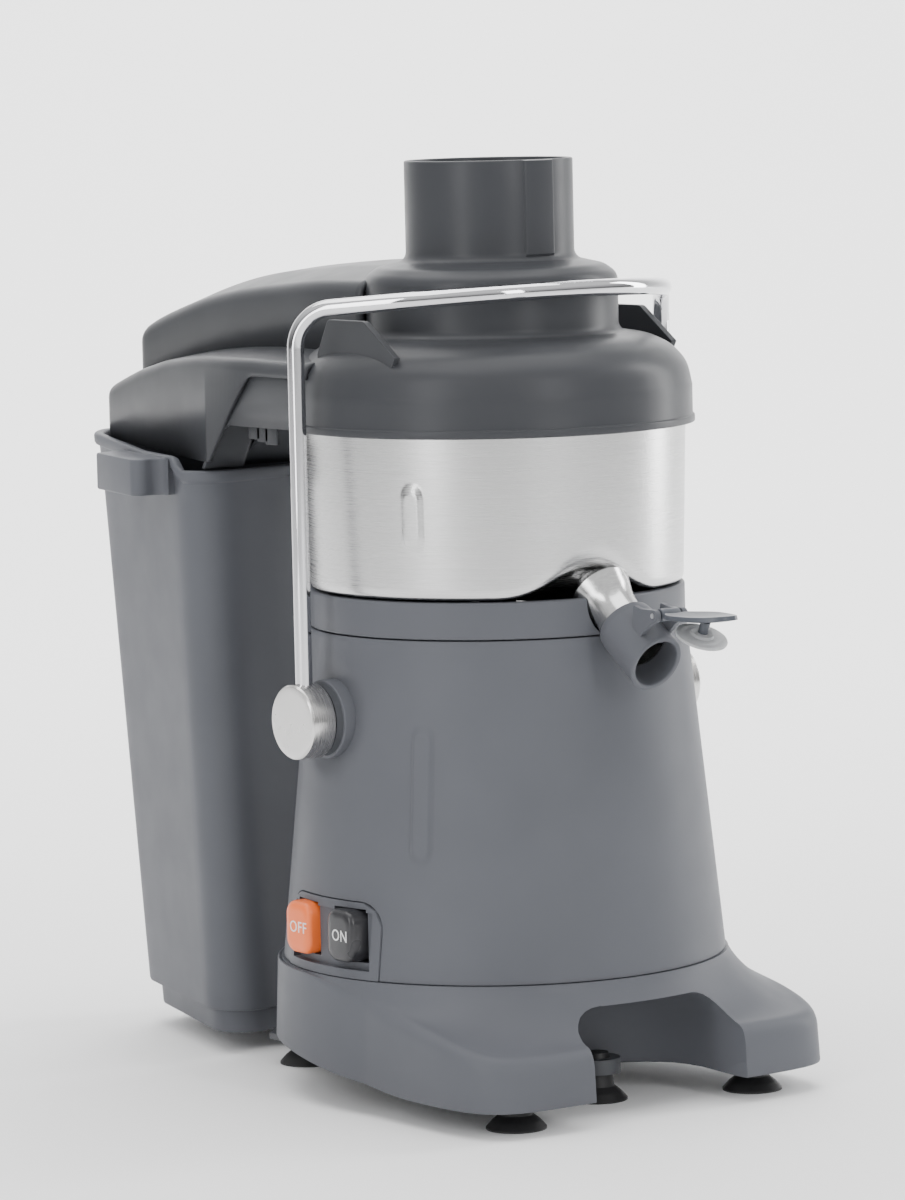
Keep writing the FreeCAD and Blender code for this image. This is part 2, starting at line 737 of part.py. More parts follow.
def make_spout():
    """The steel tube that leaves the low edge of the bowl, and the moulded sleeve on its end."""
    along = spout_direction()
    start = mouth_centre() - along * 64
    tube = rod("spout_outer", S.spout_radius, 54, tuple(start), tuple(along))
    bore = rod("spout_inner", S.spout_bore, 60, tuple(start - along * 2), tuple(along))
    sub_part("spout_tube", cut("spout_tube", tube, bore))

    sleeve_start = mouth_centre() - along * 26
    sleeve = rod("sleeve_outer", S.sleeve_radius, 44, tuple(sleeve_start), tuple(along))
    socket = rod("sleeve_socket", S.spout_radius + 0.02, 16.05, tuple(sleeve_start), tuple(along))
    passage = rod("sleeve_passage", S.sleeve_bore, 60, tuple(sleeve_start), tuple(along))
    tilt = math.radians(number(S.mouth_tilt))
    outward = Vector(0, -math.cos(tilt), -math.sin(tilt))
    trim = rod("sleeve_trim", 60, 60, tuple(mouth_centre()), tuple(outward))
    ears = []
    for side in (-1, 1):
        ear = raised(f"hinge_ear_{side + 1}", "YZ_Plane", [
            (-S.hinge_y - 3.2, S.hinge_level - 2), (-S.hinge_y - 1.5, S.hinge_level + 3),
            (-S.hinge_y + 2, S.hinge_level + 3), (-S.hinge_y + 11, S.hinge_level - 3),
            (-S.hinge_y + 14, S.hinge_level - 16), (-S.hinge_y - 0.5, S.hinge_level - 14),
        ], 2.4, offset=7.2 * side - 1.2)
        ears.append(ear)
    pin_hole = rod("hinge_hole", S.hinge_pin + 0.02, 30, (-15, -S.hinge_y, S.hinge_level), (1, 0, 0))
    solid = joined("sleeve_solid", sleeve, *ears)
    sub_part("spout_nozzle", cut("spout_nozzle", solid, socket, passage, trim, pin_hole))

    pin = rod("hinge_pin", S.hinge_pin, 19, (-9.5, -S.hinge_y, S.hinge_level), (1, 0, 0))
    sub_part("hinge_pin", pin)


def make_flap():
    """The spout's flap, shown open: a leaf-shaped plate, its hinge barrel, a stem and a soft seal."""
    tip = number(S.flap_tip_y)
    hinge = Vector(0, -number(S.hinge_y), number(S.hinge_level))
    leaf = prism(
        mirrored_outline([(4, -tip), (11, -tip + 20), (13.5, -154), (12, -143.5), (8, -141)]),
        [3, 12, 12, 5, 2, 2, 5, 12, 12, 3], 229.4, 241)
    curl = Vector(-30, -152, hinge.z + 68.6)
    lower = Part.makeCylinder(70, 60, curl, Vector(1, 0, 0))
    upper = Part.makeCylinder(67.4, 60, curl, Vector(1, 0, 0))
    plate = leaf.common(lower).cut(upper)
    arm = side_prism([(hinge.y + along, hinge.z + level) for along, level in (
        (-14, 0.6), (-6, 2.2), (-2, 3), (1.5, 2.8), (2.8, 0.4), (1.6, -2.3), (-2, -2.3), (-6, -1.6),
        (-14, -0.6),
    )], 5.6)
    barrel_bore = Part.makeCylinder(
        number(S.hinge_pin) + 0.05, 30, Vector(-15, hinge.y, hinge.z), Vector(1, 0, 0))

    tilt = math.radians(number(S.mouth_tilt))
    outward = Vector(0, -math.cos(tilt), -math.sin(tilt))
    closed_centre = mouth_centre() + outward * 0.4
    open_turn = Placement(hinge, Rotation(Vector(1, 0, 0), -90), Vector(0, 0, 0))
    centre = open_turn.multVec(closed_centre - hinge)
    away = open_turn.Rotation.multVec(outward)
    disc = Part.makeCylinder(number(S.seal_radius), 1.8, centre, away)
    collar = Part.makeCylinder(5, 3.2, centre, away)
    stem_bore = Part.makeCylinder(2.55, 20, centre - away * 5, away)
    stem = Part.makeCylinder(2.5, 9.5, centre - away * 1.2, away)
    button = Part.makeCylinder(3.6, 1.1, centre - away * 1.2, away)
    stem = stem.common(Part.makeBox(60, 60, 60, Vector(-30, -180, 172.5)))
    flap = plate.fuse([arm, stem]).cut(barrel_bore).fuse(button).removeSplitter()
    sub_part("spout_flap", modelled("spout_flap", flap))
    seal = disc.fuse(collar).cut(stem_bore).removeSplitter()
    sub_part("flap_seal", modelled("flap_seal", seal))


# ---------------------------------------------------------------- lid


def lid_dome(inset):
    """The filled round part of the lid, with its raised tower, or its inside when inset."""
    wide = number(S.dome_radius) - inset
    shoulder = number(S.deck_level)
    tower = number(S.tower_radius) - inset
    top = number(S.tower_top) - inset
    outline = [
        (0, 300), (wide, 300), (wide, 332), (wide - 3.2, 342 - inset * 0.4),
        (wide - 9.4, shoulder - 7.5 - inset * 0.8), (wide - 17.2, shoulder - 3 - inset),
        (wide - 28.2, shoulder - inset), (tower, shoulder + 0.5 - inset),
        (tower, top - 10.5 + inset * 0.6), (tower - 2.5, top - 6.5), (tower - 8, top - 3.5),
        (tower - 14, top - 1.5), (tower - 19, top), (0, top),
    ]
    points = [Vector(across, 0, level) for across, level in outline]
    return Part.Face(Part.makePolygon(points + [points[0]])).revolve(
        Vector(0, 0, 0), Vector(0, 0, 1), 360)


def upper_hood(inset):
    """The narrow upper tier, which carries the tower's line back and down to a blunt end."""
    rear = number(S.upper_hood_y) - inset
    plan = prism(
        mirrored_outline([(58 - inset, 20), (58 - inset, 70), (46 - inset, rear)]),
        [0, 0, 16, 16, 0, 0], 300, 400)
    side = side_prism([
        (10, 320), (10, 389 - inset), (74, 389.5 - inset), (130, 387 - inset), (165, 382.5 - inset),
        (200, 374 - inset), (225, 364 - inset), (rear - 4, 351 - inset), (rear, 340), (rear, 320),
    ], 70)
    return plan.common(side)


def lower_hood(inset):
    """The wide lower tier, open underneath, which covers the front of the bin."""
    rear = number(S.lower_hood_y) - inset
    wide = number(S.lower_hood_rear) - inset
    foot = number(S.hood_foot)
    plan = prism(
        mirrored_outline([(91.5 - inset, 20), (91.5 - inset, 96), (wide, rear)]),
        [0, 30, 14, 14, 30, 0], 200, 400)
    crest = [(20, 345), (80, 346.5), (123, 346), (160, 342), (192, 337), (235, 327), (rear - 3, 321)]
    top = [(along, level - inset) for along, level in crest]
    if inset:
        under = [(rear, 313), (rear, 290), (94, 290), (94, 313.4), (20, 313.4)]
    else:
        under = [(rear, 314), (rear, foot), (112, foot - 4.5), (95, 313.4), (20, 313.4)]
    return plan.common(side_prism(top + under, 110))


def behind(level, deep=400):
    """A block that fills everything behind an upright plane."""
    return Part.makeBox(400, deep, 400, Vector(-200, level, 150))


def make_lid():
    """The moulded lid in three pieces: the dome with its rim, the two-tier hood and the feed tube."""
    wall = number(S.plastic) - 0.2
    seat = number(S.bowl_top) + 0.3
    mouth = number(S.lid_mouth_y)
    bore = number(S.tube_bore)
    outer = number(S.tube_radius)
    tower = number(S.tower_top)
    outside = lid_dome(0).fuse([upper_hood(0), lower_hood(0)])
    outside = outside.common(Part.makeBox(400, 600, 200, Vector(-200, -200, 295)))
    inside = lid_dome(wall).fuse([upper_hood(wall), lower_hood(wall)])
    rim = Part.makeCylinder(number(S.lid_radius), 3.2, Vector(0, 0, seat))
    rim = rim.cut(Part.makeCylinder(number(S.dome_radius) - 4, 10, Vector(0, 0, seat - 3.3)))
    below = Part.makeBox(400, 400 - 2.4, 19, Vector(-200, mouth - 400, seat - 19))
    collar = Part.makeCone(outer + 2.7, outer, 4, Vector(0, 0, tower))
    socket = Part.makeCylinder(outer + 0.05, 300, Vector(0, 0, 250))
    shell = outside.cut(below).fuse(rim).cut(inside).fuse(collar).cut(socket)
    shell = shell.fuse([bail_ramp(side) for side in (-1, 1)]).removeSplitter()
    rear = behind(number(S.lid_split_y))
    sub_part("lid", modelled("lid", shell.cut(rear)))
    sub_part("lid_hood", modelled("lid_hood", shell.common(rear)))
    sub_part("feed_tube", turned("feed_tube", [
        (S.tube_bore, S.tube_low), (S.tube_radius, S.tube_low), (S.tube_radius, S.tube_top - 0.8),
        (S.tube_radius - 0.6, S.tube_top), (S.tube_bore, S.tube_top)]))


def bail_ramp(side):
    """A rib on the lid's shoulder, under the bow of the bail, with a sloping front edge."""
    face = Part.Face(Part.makePolygon([
        Vector(79 * side, -36, 340), Vector(79 * side, -36, 349.5), Vector(79 * side, -11.5, 366.3),
        Vector(79 * side, 16, 366.3), Vector(79 * side, 24, 340), Vector(79 * side, -36, 340),
    ]))
    rib = face.extrude(Vector(3.2 * side, 0, 0))
    return rib.common(Part.makeCylinder(92.5, 60, Vector(0, 0, 330)))


def make_lid_inner():
    """The chute inside the hood that throws pulp down into the bin, and the lid's seal ring."""
    slope = side_prism([(94.4, 313.2), (97.4, 313.2), (131, 293.4), (131, 291.4), (127, 291.4),
                        (94.4, 310.6)], 62)
    cheeks = []
    for side in (-1, 1):
        cheek = side_prism([(94.4, 313.2), (131, 313.2), (137, 291.4), (127, 291.4), (94.4, 310.6)], 1.2)
        cheek.translate(Vector(62 * side, 0, 0))
        cheeks.append(cheek)
    chute = slope.fuse(cheeks).cut(Part.makeCylinder(92.2, 60, Vector(0, 0, 280)))
    sub_part("pulp_chute", modelled("pulp_chute", chute.removeSplitter()))
    seal = turned("lid_seal", [
        (S.bowl_high_radius - 5, S.bowl_top + 0.05), (S.bowl_high_radius - 0.4, S.bowl_top + 0.05),
        (S.bowl_high_radius - 0.4, S.bowl_top + 2.6), (S.bowl_high_radius - 5, S.bowl_top + 2.6),
    ])
    sub_part("lid_seal", seal)


# ---------------------------------------------------------------- grating disc and drive


def make_basket():
    """The spinning filter: a grating disc at the foot of a conical sieve, with a rim above."""
    low = S.basket_low
    high = S.basket_high
    wide = S.basket_radius
    shell = turned("basket_wall", [
        (0, low), (38, low), (wide - 6, high - 1), (wide, high - 1), (wide, high), (wide - 7, high),
        (37, low + 1.5), (33, low + 1.5), (14, low + 1.5), (12, low + 4), (0, low + 4),
    ])
    teeth = []
    for ring in range(5):
        count = 6 + 3 * ring
        for step in range(count):
            turn = 2 * math.pi * (step + 0.5 * (ring % 2)) / count
            reach = 16 + 4 * ring
            tooth = Part.makeBox(1.6, 0.5, 1.0, Vector(-0.8, -0.25, 0))
            tooth.rotate(Vector(0, 0, 0), Vector(0, 0, 1), math.degrees(turn) + 60)
            tooth.translate(Vector(
                reach * math.cos(turn), reach * math.sin(turn), number(low) + 1.4))
            teeth.append(tooth)
    cutters = modelled("grating_teeth", Part.makeCompound(teeth))
    socket = rod("basket_socket", 9.05, 2.6, (0, 0, low - 0.1))
    sub_part("filter_basket", cut("filter_basket", joined("basket_toothed", shell, cutters), socket))


def make_drive():
    """Motor on the upright axis: shaft, rotor, fan and coupling spin, the rest stands still."""
    low = S.rotor_low
    high = S.rotor_high
    sub_part("motor_shaft", rod("motor_shaft", S.shaft_radius, 160, (0, 0, 75.5)))
    core = cut(
        "rotor_blank",
        rod("rotor_core", S.rotor_radius, high - low, (0, 0, low)),
        rod("rotor_bore", S.shaft_radius, high - low + 2, (0, 0, low - 1)))
    sub_part("motor_rotor", core)
    sub_part("commutator", turned("commutator", [
        (S.shaft_radius, high + 2), (13, high + 2), (13, high + 16), (S.shaft_radius, high + 16)]))

    sub_part("motor_stator", turned("motor_stator", [
        (S.rotor_radius + 1, low - 4), (S.stator_radius, low - 4), (S.stator_radius, high + 4),
        (S.rotor_radius + 1, high + 4)]))

    for name, level in (("bearing_lower", 90), ("bearing_upper", 186)):
        sub_part(name, turned(name, [
            (S.shaft_radius + 0.02, level), (11, level), (11, level + 7), (S.shaft_radius + 0.02, level + 7)]))
    bracket_posts = []
    for index in range(4):
        turn = math.radians(45 + 90 * index)
        bracket_posts.append((44 * math.cos(turn), 44 * math.sin(turn)))
    lower = cut(
        "bracket_lower_blank",
        joined(
            "bracket_lower_solid",
            rod("bracket_lower_disc", S.stator_radius, 3.6, (0, 0, 97.2)),
            rod("bracket_lower_hub", 14, 12, (0, 0, 88)),
        ),
        rod("bracket_lower_seat", 11.02, 9.3, (0, 0, 87.9)),
        rod("bracket_lower_hole", 9, 40, (0, 0, 80)),
    )
    sub_part("motor_bracket_lower", lower)
    upper = cut(
        "bracket_upper_blank",
        joined(
            "bracket_upper_solid",
            rod("bracket_upper_disc", S.stator_radius, 4, (0, 0, 178)),
            rod("bracket_upper_hub", 14, 18, (0, 0, 178)),
            *[rod(f"bracket_post_{index}", 4, 178.5 - 162, (x, y, 162))
              for index, (x, y) in enumerate(bracket_posts)],
        ),
        rod("bracket_upper_seat", 11.02, 10.1, (0, 0, 186)),
        rod("bracket_upper_hole", 9, 40, (0, 0, 170)),
    )
    sub_part("motor_bracket_upper", upper)

    dampers = []
    for index, (x, y) in enumerate(bracket_posts):
        dampers.append(rod(f"damper_{index}", 6, 85 - 60.3 + 12.2, (x * 1.02, y * 1.02, 60.3)))
    shelf = cut(
        "motor_shelf_blank",
        rod("motor_shelf_disc", 96, 3, (0, 0, 57)),
        rod("motor_shelf_hole", 20, 10, (0, 0, 52)),
        *[rod(f"motor_shelf_boss_hole_{index}", 5.3, 20, (x, y, 50))
          for index, (x, y) in enumerate(PLATE_SCREWS)],
        rod("motor_shelf_recess", 50, 20, (0, -S.recess_centre, 45)),
    )
    sub_part("motor_shelf", shelf)
    sub_part("motor_dampers", group("motor_dampers", *dampers))

    fan_blades = []
    for index in range(9):
        blade = Part.makeBox(18, 1.2, 6, Vector(9, -0.6, 75.5))
        blade.rotate(Vector(0, 0, 0), Vector(0, 0, 1), 40 * index)
        fan_blades.append(blade)
    blades = modelled("fan_blades", Part.makeCompound(fan_blades))
    fan_disc = rod("fan_disc", 27, 1.5, (0, 0, 81))
    fan_hub = rod("fan_hub", 10, 8.5, (0, 0, 75.5))
    spindle = rod("fan_spindle_bore", S.shaft_radius, 20, (0, 0, 70))
    sub_part("cooling_fan", cut("cooling_fan", joined("fan_blank", blades, fan_disc, fan_hub), spindle))

    coupling = turned("coupling_outer", [
        (0, 240), (7, 240), (9, 248), (9, 250.4), (0, 250.4)])
    sleeve = rod("coupling_sleeve", 9, 24, (0, 0, 224))
    hole = rod("coupling_hole", S.shaft_radius, 30, (0, 0, 205.5))
    sub_part("drive_coupling", cut("drive_coupling", joined("coupling_blank", coupling, sleeve), hole))
    sub_part("shaft_seal", turned("shaft_seal", [
        (S.shaft_radius + 0.05, 203.1), (13.95, 203.1), (13.95, 207), (8, 209), (S.shaft_radius + 0.05, 209)]))


def make_electrics():
    """Control board, suppressor and the lock switch that feels the bail's pivot."""
    board = box("board_panel", (60, -30, 90), (61.6, 30, 150))
    sub_part("control_board", board)
    capacitor = rod("suppressor", 8, 26, (70.5, 0, 104))
    sub_part("suppressor", capacitor)
    lock = box("lock_switch_case", (70, 0, 172), (83.6, 16, 190))
    sub_part("lock_switch", lock)


# ---------------------------------------------------------------- pulp bin


def bin_section(level, front_x, front_y, rear_x, rear_y, shrink=0.0):
    """One level of the bin: hollowed front, tapering sides and a gently bowed back."""
    hollow = 128 + 12 * (number(S.bin_rim) - level) / 287 + shrink
    fx = front_x - shrink
    rx = rear_x - shrink
    back = rear_y - shrink
    fy = front_y + shrink
    side_turn = 18 - shrink * 0.5
    across = front_x * 0.4
    reach = math.sqrt(hollow**2 - across**2)
    outline = [
        Vector(across, reach, level), Vector(fx, fy, level),
        Vector(rx, back - 6, level), Vector(-rx, back - 6, level),
        Vector(-fx, fy, level), Vector(-across, reach, level),
    ]
    open_path = rounded_path(outline, [0, side_turn, 24 - shrink, 24 - shrink, side_turn, 0])
    front = Part.Arc(outline[-1], Vector(0, hollow, level), outline[0]).toShape()
    return Part.Wire(open_path.Edges + [front])


def bin_solid(low, high, shrink):
    """The bin between two levels, drafted from its plinth to its rim."""
    def corner(level):
        share = (level - 10) / 287
        return (79 + 19 * share, 121 - 9 * share, 45 + 16 * share, 258 + 10 * share)

    wires = [bin_section(level, *corner(level), shrink) for level in (low, high)]
    return Part.makeLoft(wires, True, True)


def make_bin():
    """The pulp bin: plinth, drafted walls, stepped rim with a rolled lip, and a grip on each side."""
    low = number(S.bin_low)
    step = number(S.bin_step)
    rim = number(S.bin_rim)
    front_rim = number(S.bin_front_rim)
    wall = number(S.bin_wall)
    top_line = [
        (80, front_rim), (130.5, front_rim), (136.5, rim), (180, rim), (262, rim + 5.5), (300, rim + 5.5),
    ]
    below_top = side_prism(top_line + [(300, 0), (80, 0)], 130)
    lip_band = side_prism(top_line + [(along, level - 5) for along, level in reversed(top_line)], 130)
    body = bin_solid(step, rim + 7, 0).common(below_top)
    lip = bin_solid(rim - 16, rim + 7, -2.2).common(lip_band)
    body = body.fuse([lip, bin_solid(low, step, 5)])
    for side in (-1, 1):
        grip = prism(
            [(60 * side, 134), (94 * side, 134), (90.4 * side, 147.5), (111 * side, 142.2),
             (96.3 * side, 201.5), (75 * side, 206.3), (72.6 * side, 216), (60 * side, 216)],
            [0, 0, 6, 5, 5, 6, 0, 0], rim - 19, rim - 1)
        body = body.fuse(grip)
    hollow = bin_solid(step + wall, rim + 10, wall).fuse(bin_solid(low + wall, step + wall, 5 + wall))
    return sub_part("pulp_bin", modelled("pulp_bin", body.cut(hollow).removeSplitter()))


# ---------------------------------------------------------------- the whole juicer


def checked():
    """Recomputes the document and stops if any object failed."""
    doc.recompute()
    bad = []
    for thing in doc.Objects:
        if "Invalid" in thing.State or "Error" in thing.State:
            bad.append(f"{thing.Name}: {thing.State}")
    for thing in SUB_PARTS:
        shape = thing.Shape
        if shape.isNull() or not shape.isValid() or not shape.Solids:
            bad.append(f"{thing.Label}: shape")
    if bad:
        raise RuntimeError("; ".join(bad))


def write_parts():
    os.makedirs("parts", exist_ok=True)
    for thing in SUB_PARTS:
        thing.Shape.exportStep(f"parts/{thing.Label}.step")


make_base_shell()
make_bottom_plate()
make_feet()
make_plate_screws()
make_cord_inlet()
make_motor_housing()
make_housing_collar()
make_switch_panel()
make_buttons()
make_switch_block()
make_button_springs()
make_bail()
make_knobs()
make_pivot_washers()
make_pivot_bolts()
make_bowl()
make_spout()
make_flap()
make_lid()
make_lid_inner()
make_basket()
make_drive()
make_electrics()
make_bin()
checked()
write_parts()
print(f"{len(SUB_PARTS)} sub-parts written")
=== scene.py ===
"""The looks of the centrifugal juicer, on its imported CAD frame.

Lengths are millimetres. x and y are measured from the drive axis and z from the worktop; the
spout points along -y, the pulp bin along +y and the switches along -x.
"""
import json
import math

import bmesh
import bpy
from mathutils import Matrix, Vector


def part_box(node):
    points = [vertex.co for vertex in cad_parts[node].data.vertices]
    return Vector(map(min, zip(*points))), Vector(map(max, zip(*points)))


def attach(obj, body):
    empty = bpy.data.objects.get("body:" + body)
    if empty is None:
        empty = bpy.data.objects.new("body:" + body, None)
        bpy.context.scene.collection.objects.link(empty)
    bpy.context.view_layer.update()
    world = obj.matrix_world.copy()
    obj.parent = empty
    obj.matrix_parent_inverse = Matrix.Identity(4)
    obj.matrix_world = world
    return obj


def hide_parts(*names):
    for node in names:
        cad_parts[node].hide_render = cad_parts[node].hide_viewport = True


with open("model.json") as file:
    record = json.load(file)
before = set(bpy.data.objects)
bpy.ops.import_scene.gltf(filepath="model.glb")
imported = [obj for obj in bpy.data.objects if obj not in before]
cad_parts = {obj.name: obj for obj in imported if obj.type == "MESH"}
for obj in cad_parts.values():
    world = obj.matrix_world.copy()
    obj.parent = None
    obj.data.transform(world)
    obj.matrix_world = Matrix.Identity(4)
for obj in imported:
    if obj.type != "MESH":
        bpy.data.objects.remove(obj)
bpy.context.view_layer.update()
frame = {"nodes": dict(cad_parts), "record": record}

MM = 0.001
AXIS_Y = sum(corner.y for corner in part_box("motor_stator")) / 2 / MM
TUBE_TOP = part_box("feed_tube")[1].z / MM
LID_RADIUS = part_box("lid")[1].x / MM
BOWL_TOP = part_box("bowl")[1].z / MM
BOWL_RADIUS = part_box("bowl")[1].x / MM
COLLAR_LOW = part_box("housing_collar")[0].z / MM
COLLAR_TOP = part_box("housing_collar")[1].z / MM
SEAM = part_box("motor_housing")[0].z / MM
SEAM_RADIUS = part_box("motor_housing")[1].x / MM


# ---------------------------------------------------------------- curves


def rounded(points, radii, steps=6, closed=False):
    """Straight runs through the points, with an arc of its own radius at each corner."""
    points = [Vector(point) for point in points]
    path = []
    for index, corner in enumerate(points):
        radius = radii[index]
        at_end = not closed and index in (0, len(points) - 1)
        if radius <= 0 or at_end:
            path.append(corner)
            continue
        back = (points[index - 1] - corner).normalized()
        ahead = (points[(index + 1) % len(points)] - corner).normalized()
        half = back.angle(ahead) / 2
        if half > math.radians(89.7):
            path += [corner] * (steps + 1)
            continue
        middle = corner + (back + ahead).normalized() * (radius / math.sin(half))
        first = corner + back * (radius / math.tan(half)) - middle
        last = corner + ahead * (radius / math.tan(half)) - middle
        turn = first.angle(last)
        for step in range(steps + 1):
            share = step / steps
            spoke = first * math.sin((1 - share) * turn) + last * math.sin(share * turn)
            path.append(middle + spoke / math.sin(turn))
    return path


def flowing(points, steps=6):
    """A smooth curve through the points."""
    points = [Vector(point) for point in points]
    ends = [points[0] * 2 - points[1]] + points + [points[-1] * 2 - points[-2]]
    path = []
    for index in range(1, len(ends) - 2):
        a, b, c, d = ends[index - 1:index + 3]
        for step in range(steps):
            t = step / steps
            path.append((
                b * 2 + (c - a) * t + (a * 2 - b * 5 + c * 4 - d) * t**2
                + (b * 3 - a - c * 3 + d) * t**3) / 2)
    path.append(points[-1])
    return path


def between(stations, along):
    """Each value of a table of (along, value, ...) rows, eased between the rows."""
    curve = flowing(stations, 12)
    for first, second in zip(curve, curve[1:]):
        if along <= second[0]:
            share = (along - first[0]) / max(second[0] - first[0], 1e-9)
            return (first + (second - first) * max(share, 0))[1:]
    return curve[-1][1:]


def eased(share):
    """0 to 1 with a soft start and end, the share being held between 0 and 1."""
    share = min(max(share, 0), 1)
    return share * share * (3 - 2 * share)


def swell(distance):
    """1 at no distance, easing to 0 at a distance of 1."""
    return eased(1 - distance * distance)


# ---------------------------------------------------------------- meshes


def linked(name, data):
    """A new object in the scene."""
    thing = bpy.data.objects.new(name, data)
    bpy.context.scene.collection.objects.link(thing)
    return thing


def mesh_of(name, points, faces):
    """A mesh from millimetre points that are measured from the drive axis."""
    mesh = bpy.data.meshes.new(name)
    mesh.from_pydata([(x * MM, (y + AXIS_Y) * MM, z * MM) for x, y, z in points], [], faces)
    return mesh


def piece(name, points, faces, look, body, replaced=(), sharp=32):
    """A Blender piece from millimetre points, riding on a CAD body."""
    mesh = mesh_of(name, points, faces)
    build = bmesh.new()
    build.from_mesh(mesh)
    bmesh.ops.remove_doubles(build, verts=build.verts, dist=1e-6)
    bmesh.ops.recalc_face_normals(build, faces=build.faces)
    build.to_mesh(mesh)
    build.free()
    mesh.shade_smooth()
    mesh.set_sharp_from_angle(angle=math.radians(sharp))
    thing = linked(name, mesh)
    dress(thing, look)
    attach(thing, body)
    if replaced:
        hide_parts(*replaced)
    return thing


def dress(thing, look):
    """Gives an object a look in place of its materials."""
    thing.data.materials.clear()
    thing.data.materials.append(look.material)


def grid(rows, round_rows=True, round_columns=False):
    """Points and faces of a net of rows, each row closed on itself or the rows joined in a ring."""
    points = [point for row in rows for point in row]
    wide = len(rows[0])
    tall = len(rows)
    faces = []
    for j in range(tall if round_columns else tall - 1):
        for i in range(wide if round_rows else wide - 1):
            after = (i + 1) % wide
            above = (j + 1) % tall
            faces.append((j * wide + i, j * wide + after, above * wide + after, above * wide + i))
    return points, faces


def capped(rows):
    """A net of closed rows with a face over its first row and its last."""
    points, faces = grid(rows)
    wide = len(rows[0])
    faces += [tuple(range(wide)), tuple(range(len(points) - wide, len(points)))]
    return points, faces


def plate(outline, near, far):
    """A flat plate between two x values, from an outline of (y, level) points."""
    points = []
    for across in (near, far):
        points += [(across, along, level) for along, level in outline]
    count = len(outline)
    faces = [(i, (i + 1) % count, count + (i + 1) % count, count + i) for i in range(count)]
    faces += [tuple(range(count))[::-1], tuple(range(count, 2 * count))]
    return points, faces


def every(degrees, dense=()):
    """Angles round a circle, with (centre, half width, step) stretches of finer ones."""
    angles = set()
    turn = 0.0
    while turn < 360:
        inside = any(abs((turn - centre + 180) % 360 - 180) < half for centre, half, _ in dense)
        if not inside:
            angles.add(round(turn, 4))
        turn += degrees
    for centre, half, step in dense:
        for index in range(round(2 * half / step) + 1):
            angles.add(round((centre - half + index * step) % 360, 4))
    return [math.radians(angle) for angle in sorted(angles)]


def spun(profile, angles=None, push=None, where=None, closed=True):
    """A turned form: (radius, level) points swept about z, each point moved out by push."""
    rows = []
    for radius, level in profile:
        row = []
        for angle in angles or every(2.5):
            out, up = push(angle, radius, level) if push else (radius, level)
            row.append(Vector((out * math.cos(angle), out * math.sin(angle), up)))
        rows.append(row)
    points, faces = grid(rows, True, closed)
    if where:
        points = [where @ point for point in points]
    return points, faces


def facing(origin, direction, roll=0):
    """Turns +z to a direction and moves it to a place."""
    turn = Vector(direction).to_track_quat("Z", "Y").to_matrix().to_4x4()
    return Matrix.Translation(Vector(origin)) @ turn @ Matrix.Rotation(roll, 4, "Z")


def swept(path, radius, sides=24):
    """A round rod along a path, with closed ends."""
    path = [Vector(point) for point in path]
    across = None
    rows = []
    for index, point in enumerate(path):
        ahead = (path[min(index + 1, len(path) - 1)] - path[max(index - 1, 0)]).normalized()
        if across is None:
            across = ahead.orthogonal().normalized()
        across = (across - ahead * across.dot(ahead)).normalized()
        other = ahead.cross(across)
        rows.append([
            point + (across * math.cos(turn) + other * math.sin(turn)) * radius
            for turn in (2 * math.pi * side / sides for side in range(sides))])
    return capped(rows)


def slab(outline, low, high, edge=0.0, steps=3):
    """An upright prism between two levels, with its top and bottom edges rounded off."""
    middle = sum((Vector(point) for point in outline), Vector((0, 0))) / len(outline)
    rows = []
    turns = [math.pi / 2 * step / steps for step in range(steps + 1)] if edge else [0]
    for turn in reversed(turns):
        rows.append((edge * (1 - math.cos(turn)), low + edge * (1 - math.sin(turn))))
    for turn in turns:
        rows.append((edge * (1 - math.cos(turn)), high - edge * (1 - math.sin(turn))))
    net = []
    for inset, level in rows:
        ring = []
        for point in outline:
            arm = Vector(point) - middle
            arm = arm * (1 - inset / max(arm.length, 1e-6))
            ring.append(Vector((middle.x + arm.x, middle.y + arm.y, level)))
        net.append(ring)
    return capped(net)


def baked(thing):
    """Applies the modifiers of a piece to its mesh."""
    bpy.context.view_layer.update()
    seen = thing.evaluated_get(bpy.context.evaluated_depsgraph_get())
    mesh = bpy.data.meshes.new_from_object(seen)
    thing.modifiers.clear()
    thing.data = mesh
    return thing


def softened(thing, width, steps=2, angle=32):
    """Rounds the sharp edges of a piece."""
    bevel = thing.modifiers.new("edges", "BEVEL")
    bevel.width = width * MM
    bevel.segments = steps
    bevel.limit_method = "ANGLE"
    bevel.angle_limit = math.radians(angle)
    bevel.harden_normals = True
    return baked(thing)


def thickened(thing, thickness):
    """Gives a sheet its wall, inwards."""
    wall = thing.modifiers.new("wall", "SOLIDIFY")
    wall.thickness = thickness * MM
    wall.offset = -1
    return baked(thing)


def carved(thing, points, faces):
    """Cuts a closed form out of a piece."""
    cutter = linked("cutter", mesh_of("cutter", points, faces))
    cut = thing.modifiers.new("cut", "BOOLEAN")
    cut.operation = "DIFFERENCE"
    cut.solver = "EXACT"
    cut.object = cutter
    baked(thing)
    bpy.data.objects.remove(cutter)
    return thing


# ---------------------------------------------------------------- camera, floor and lights


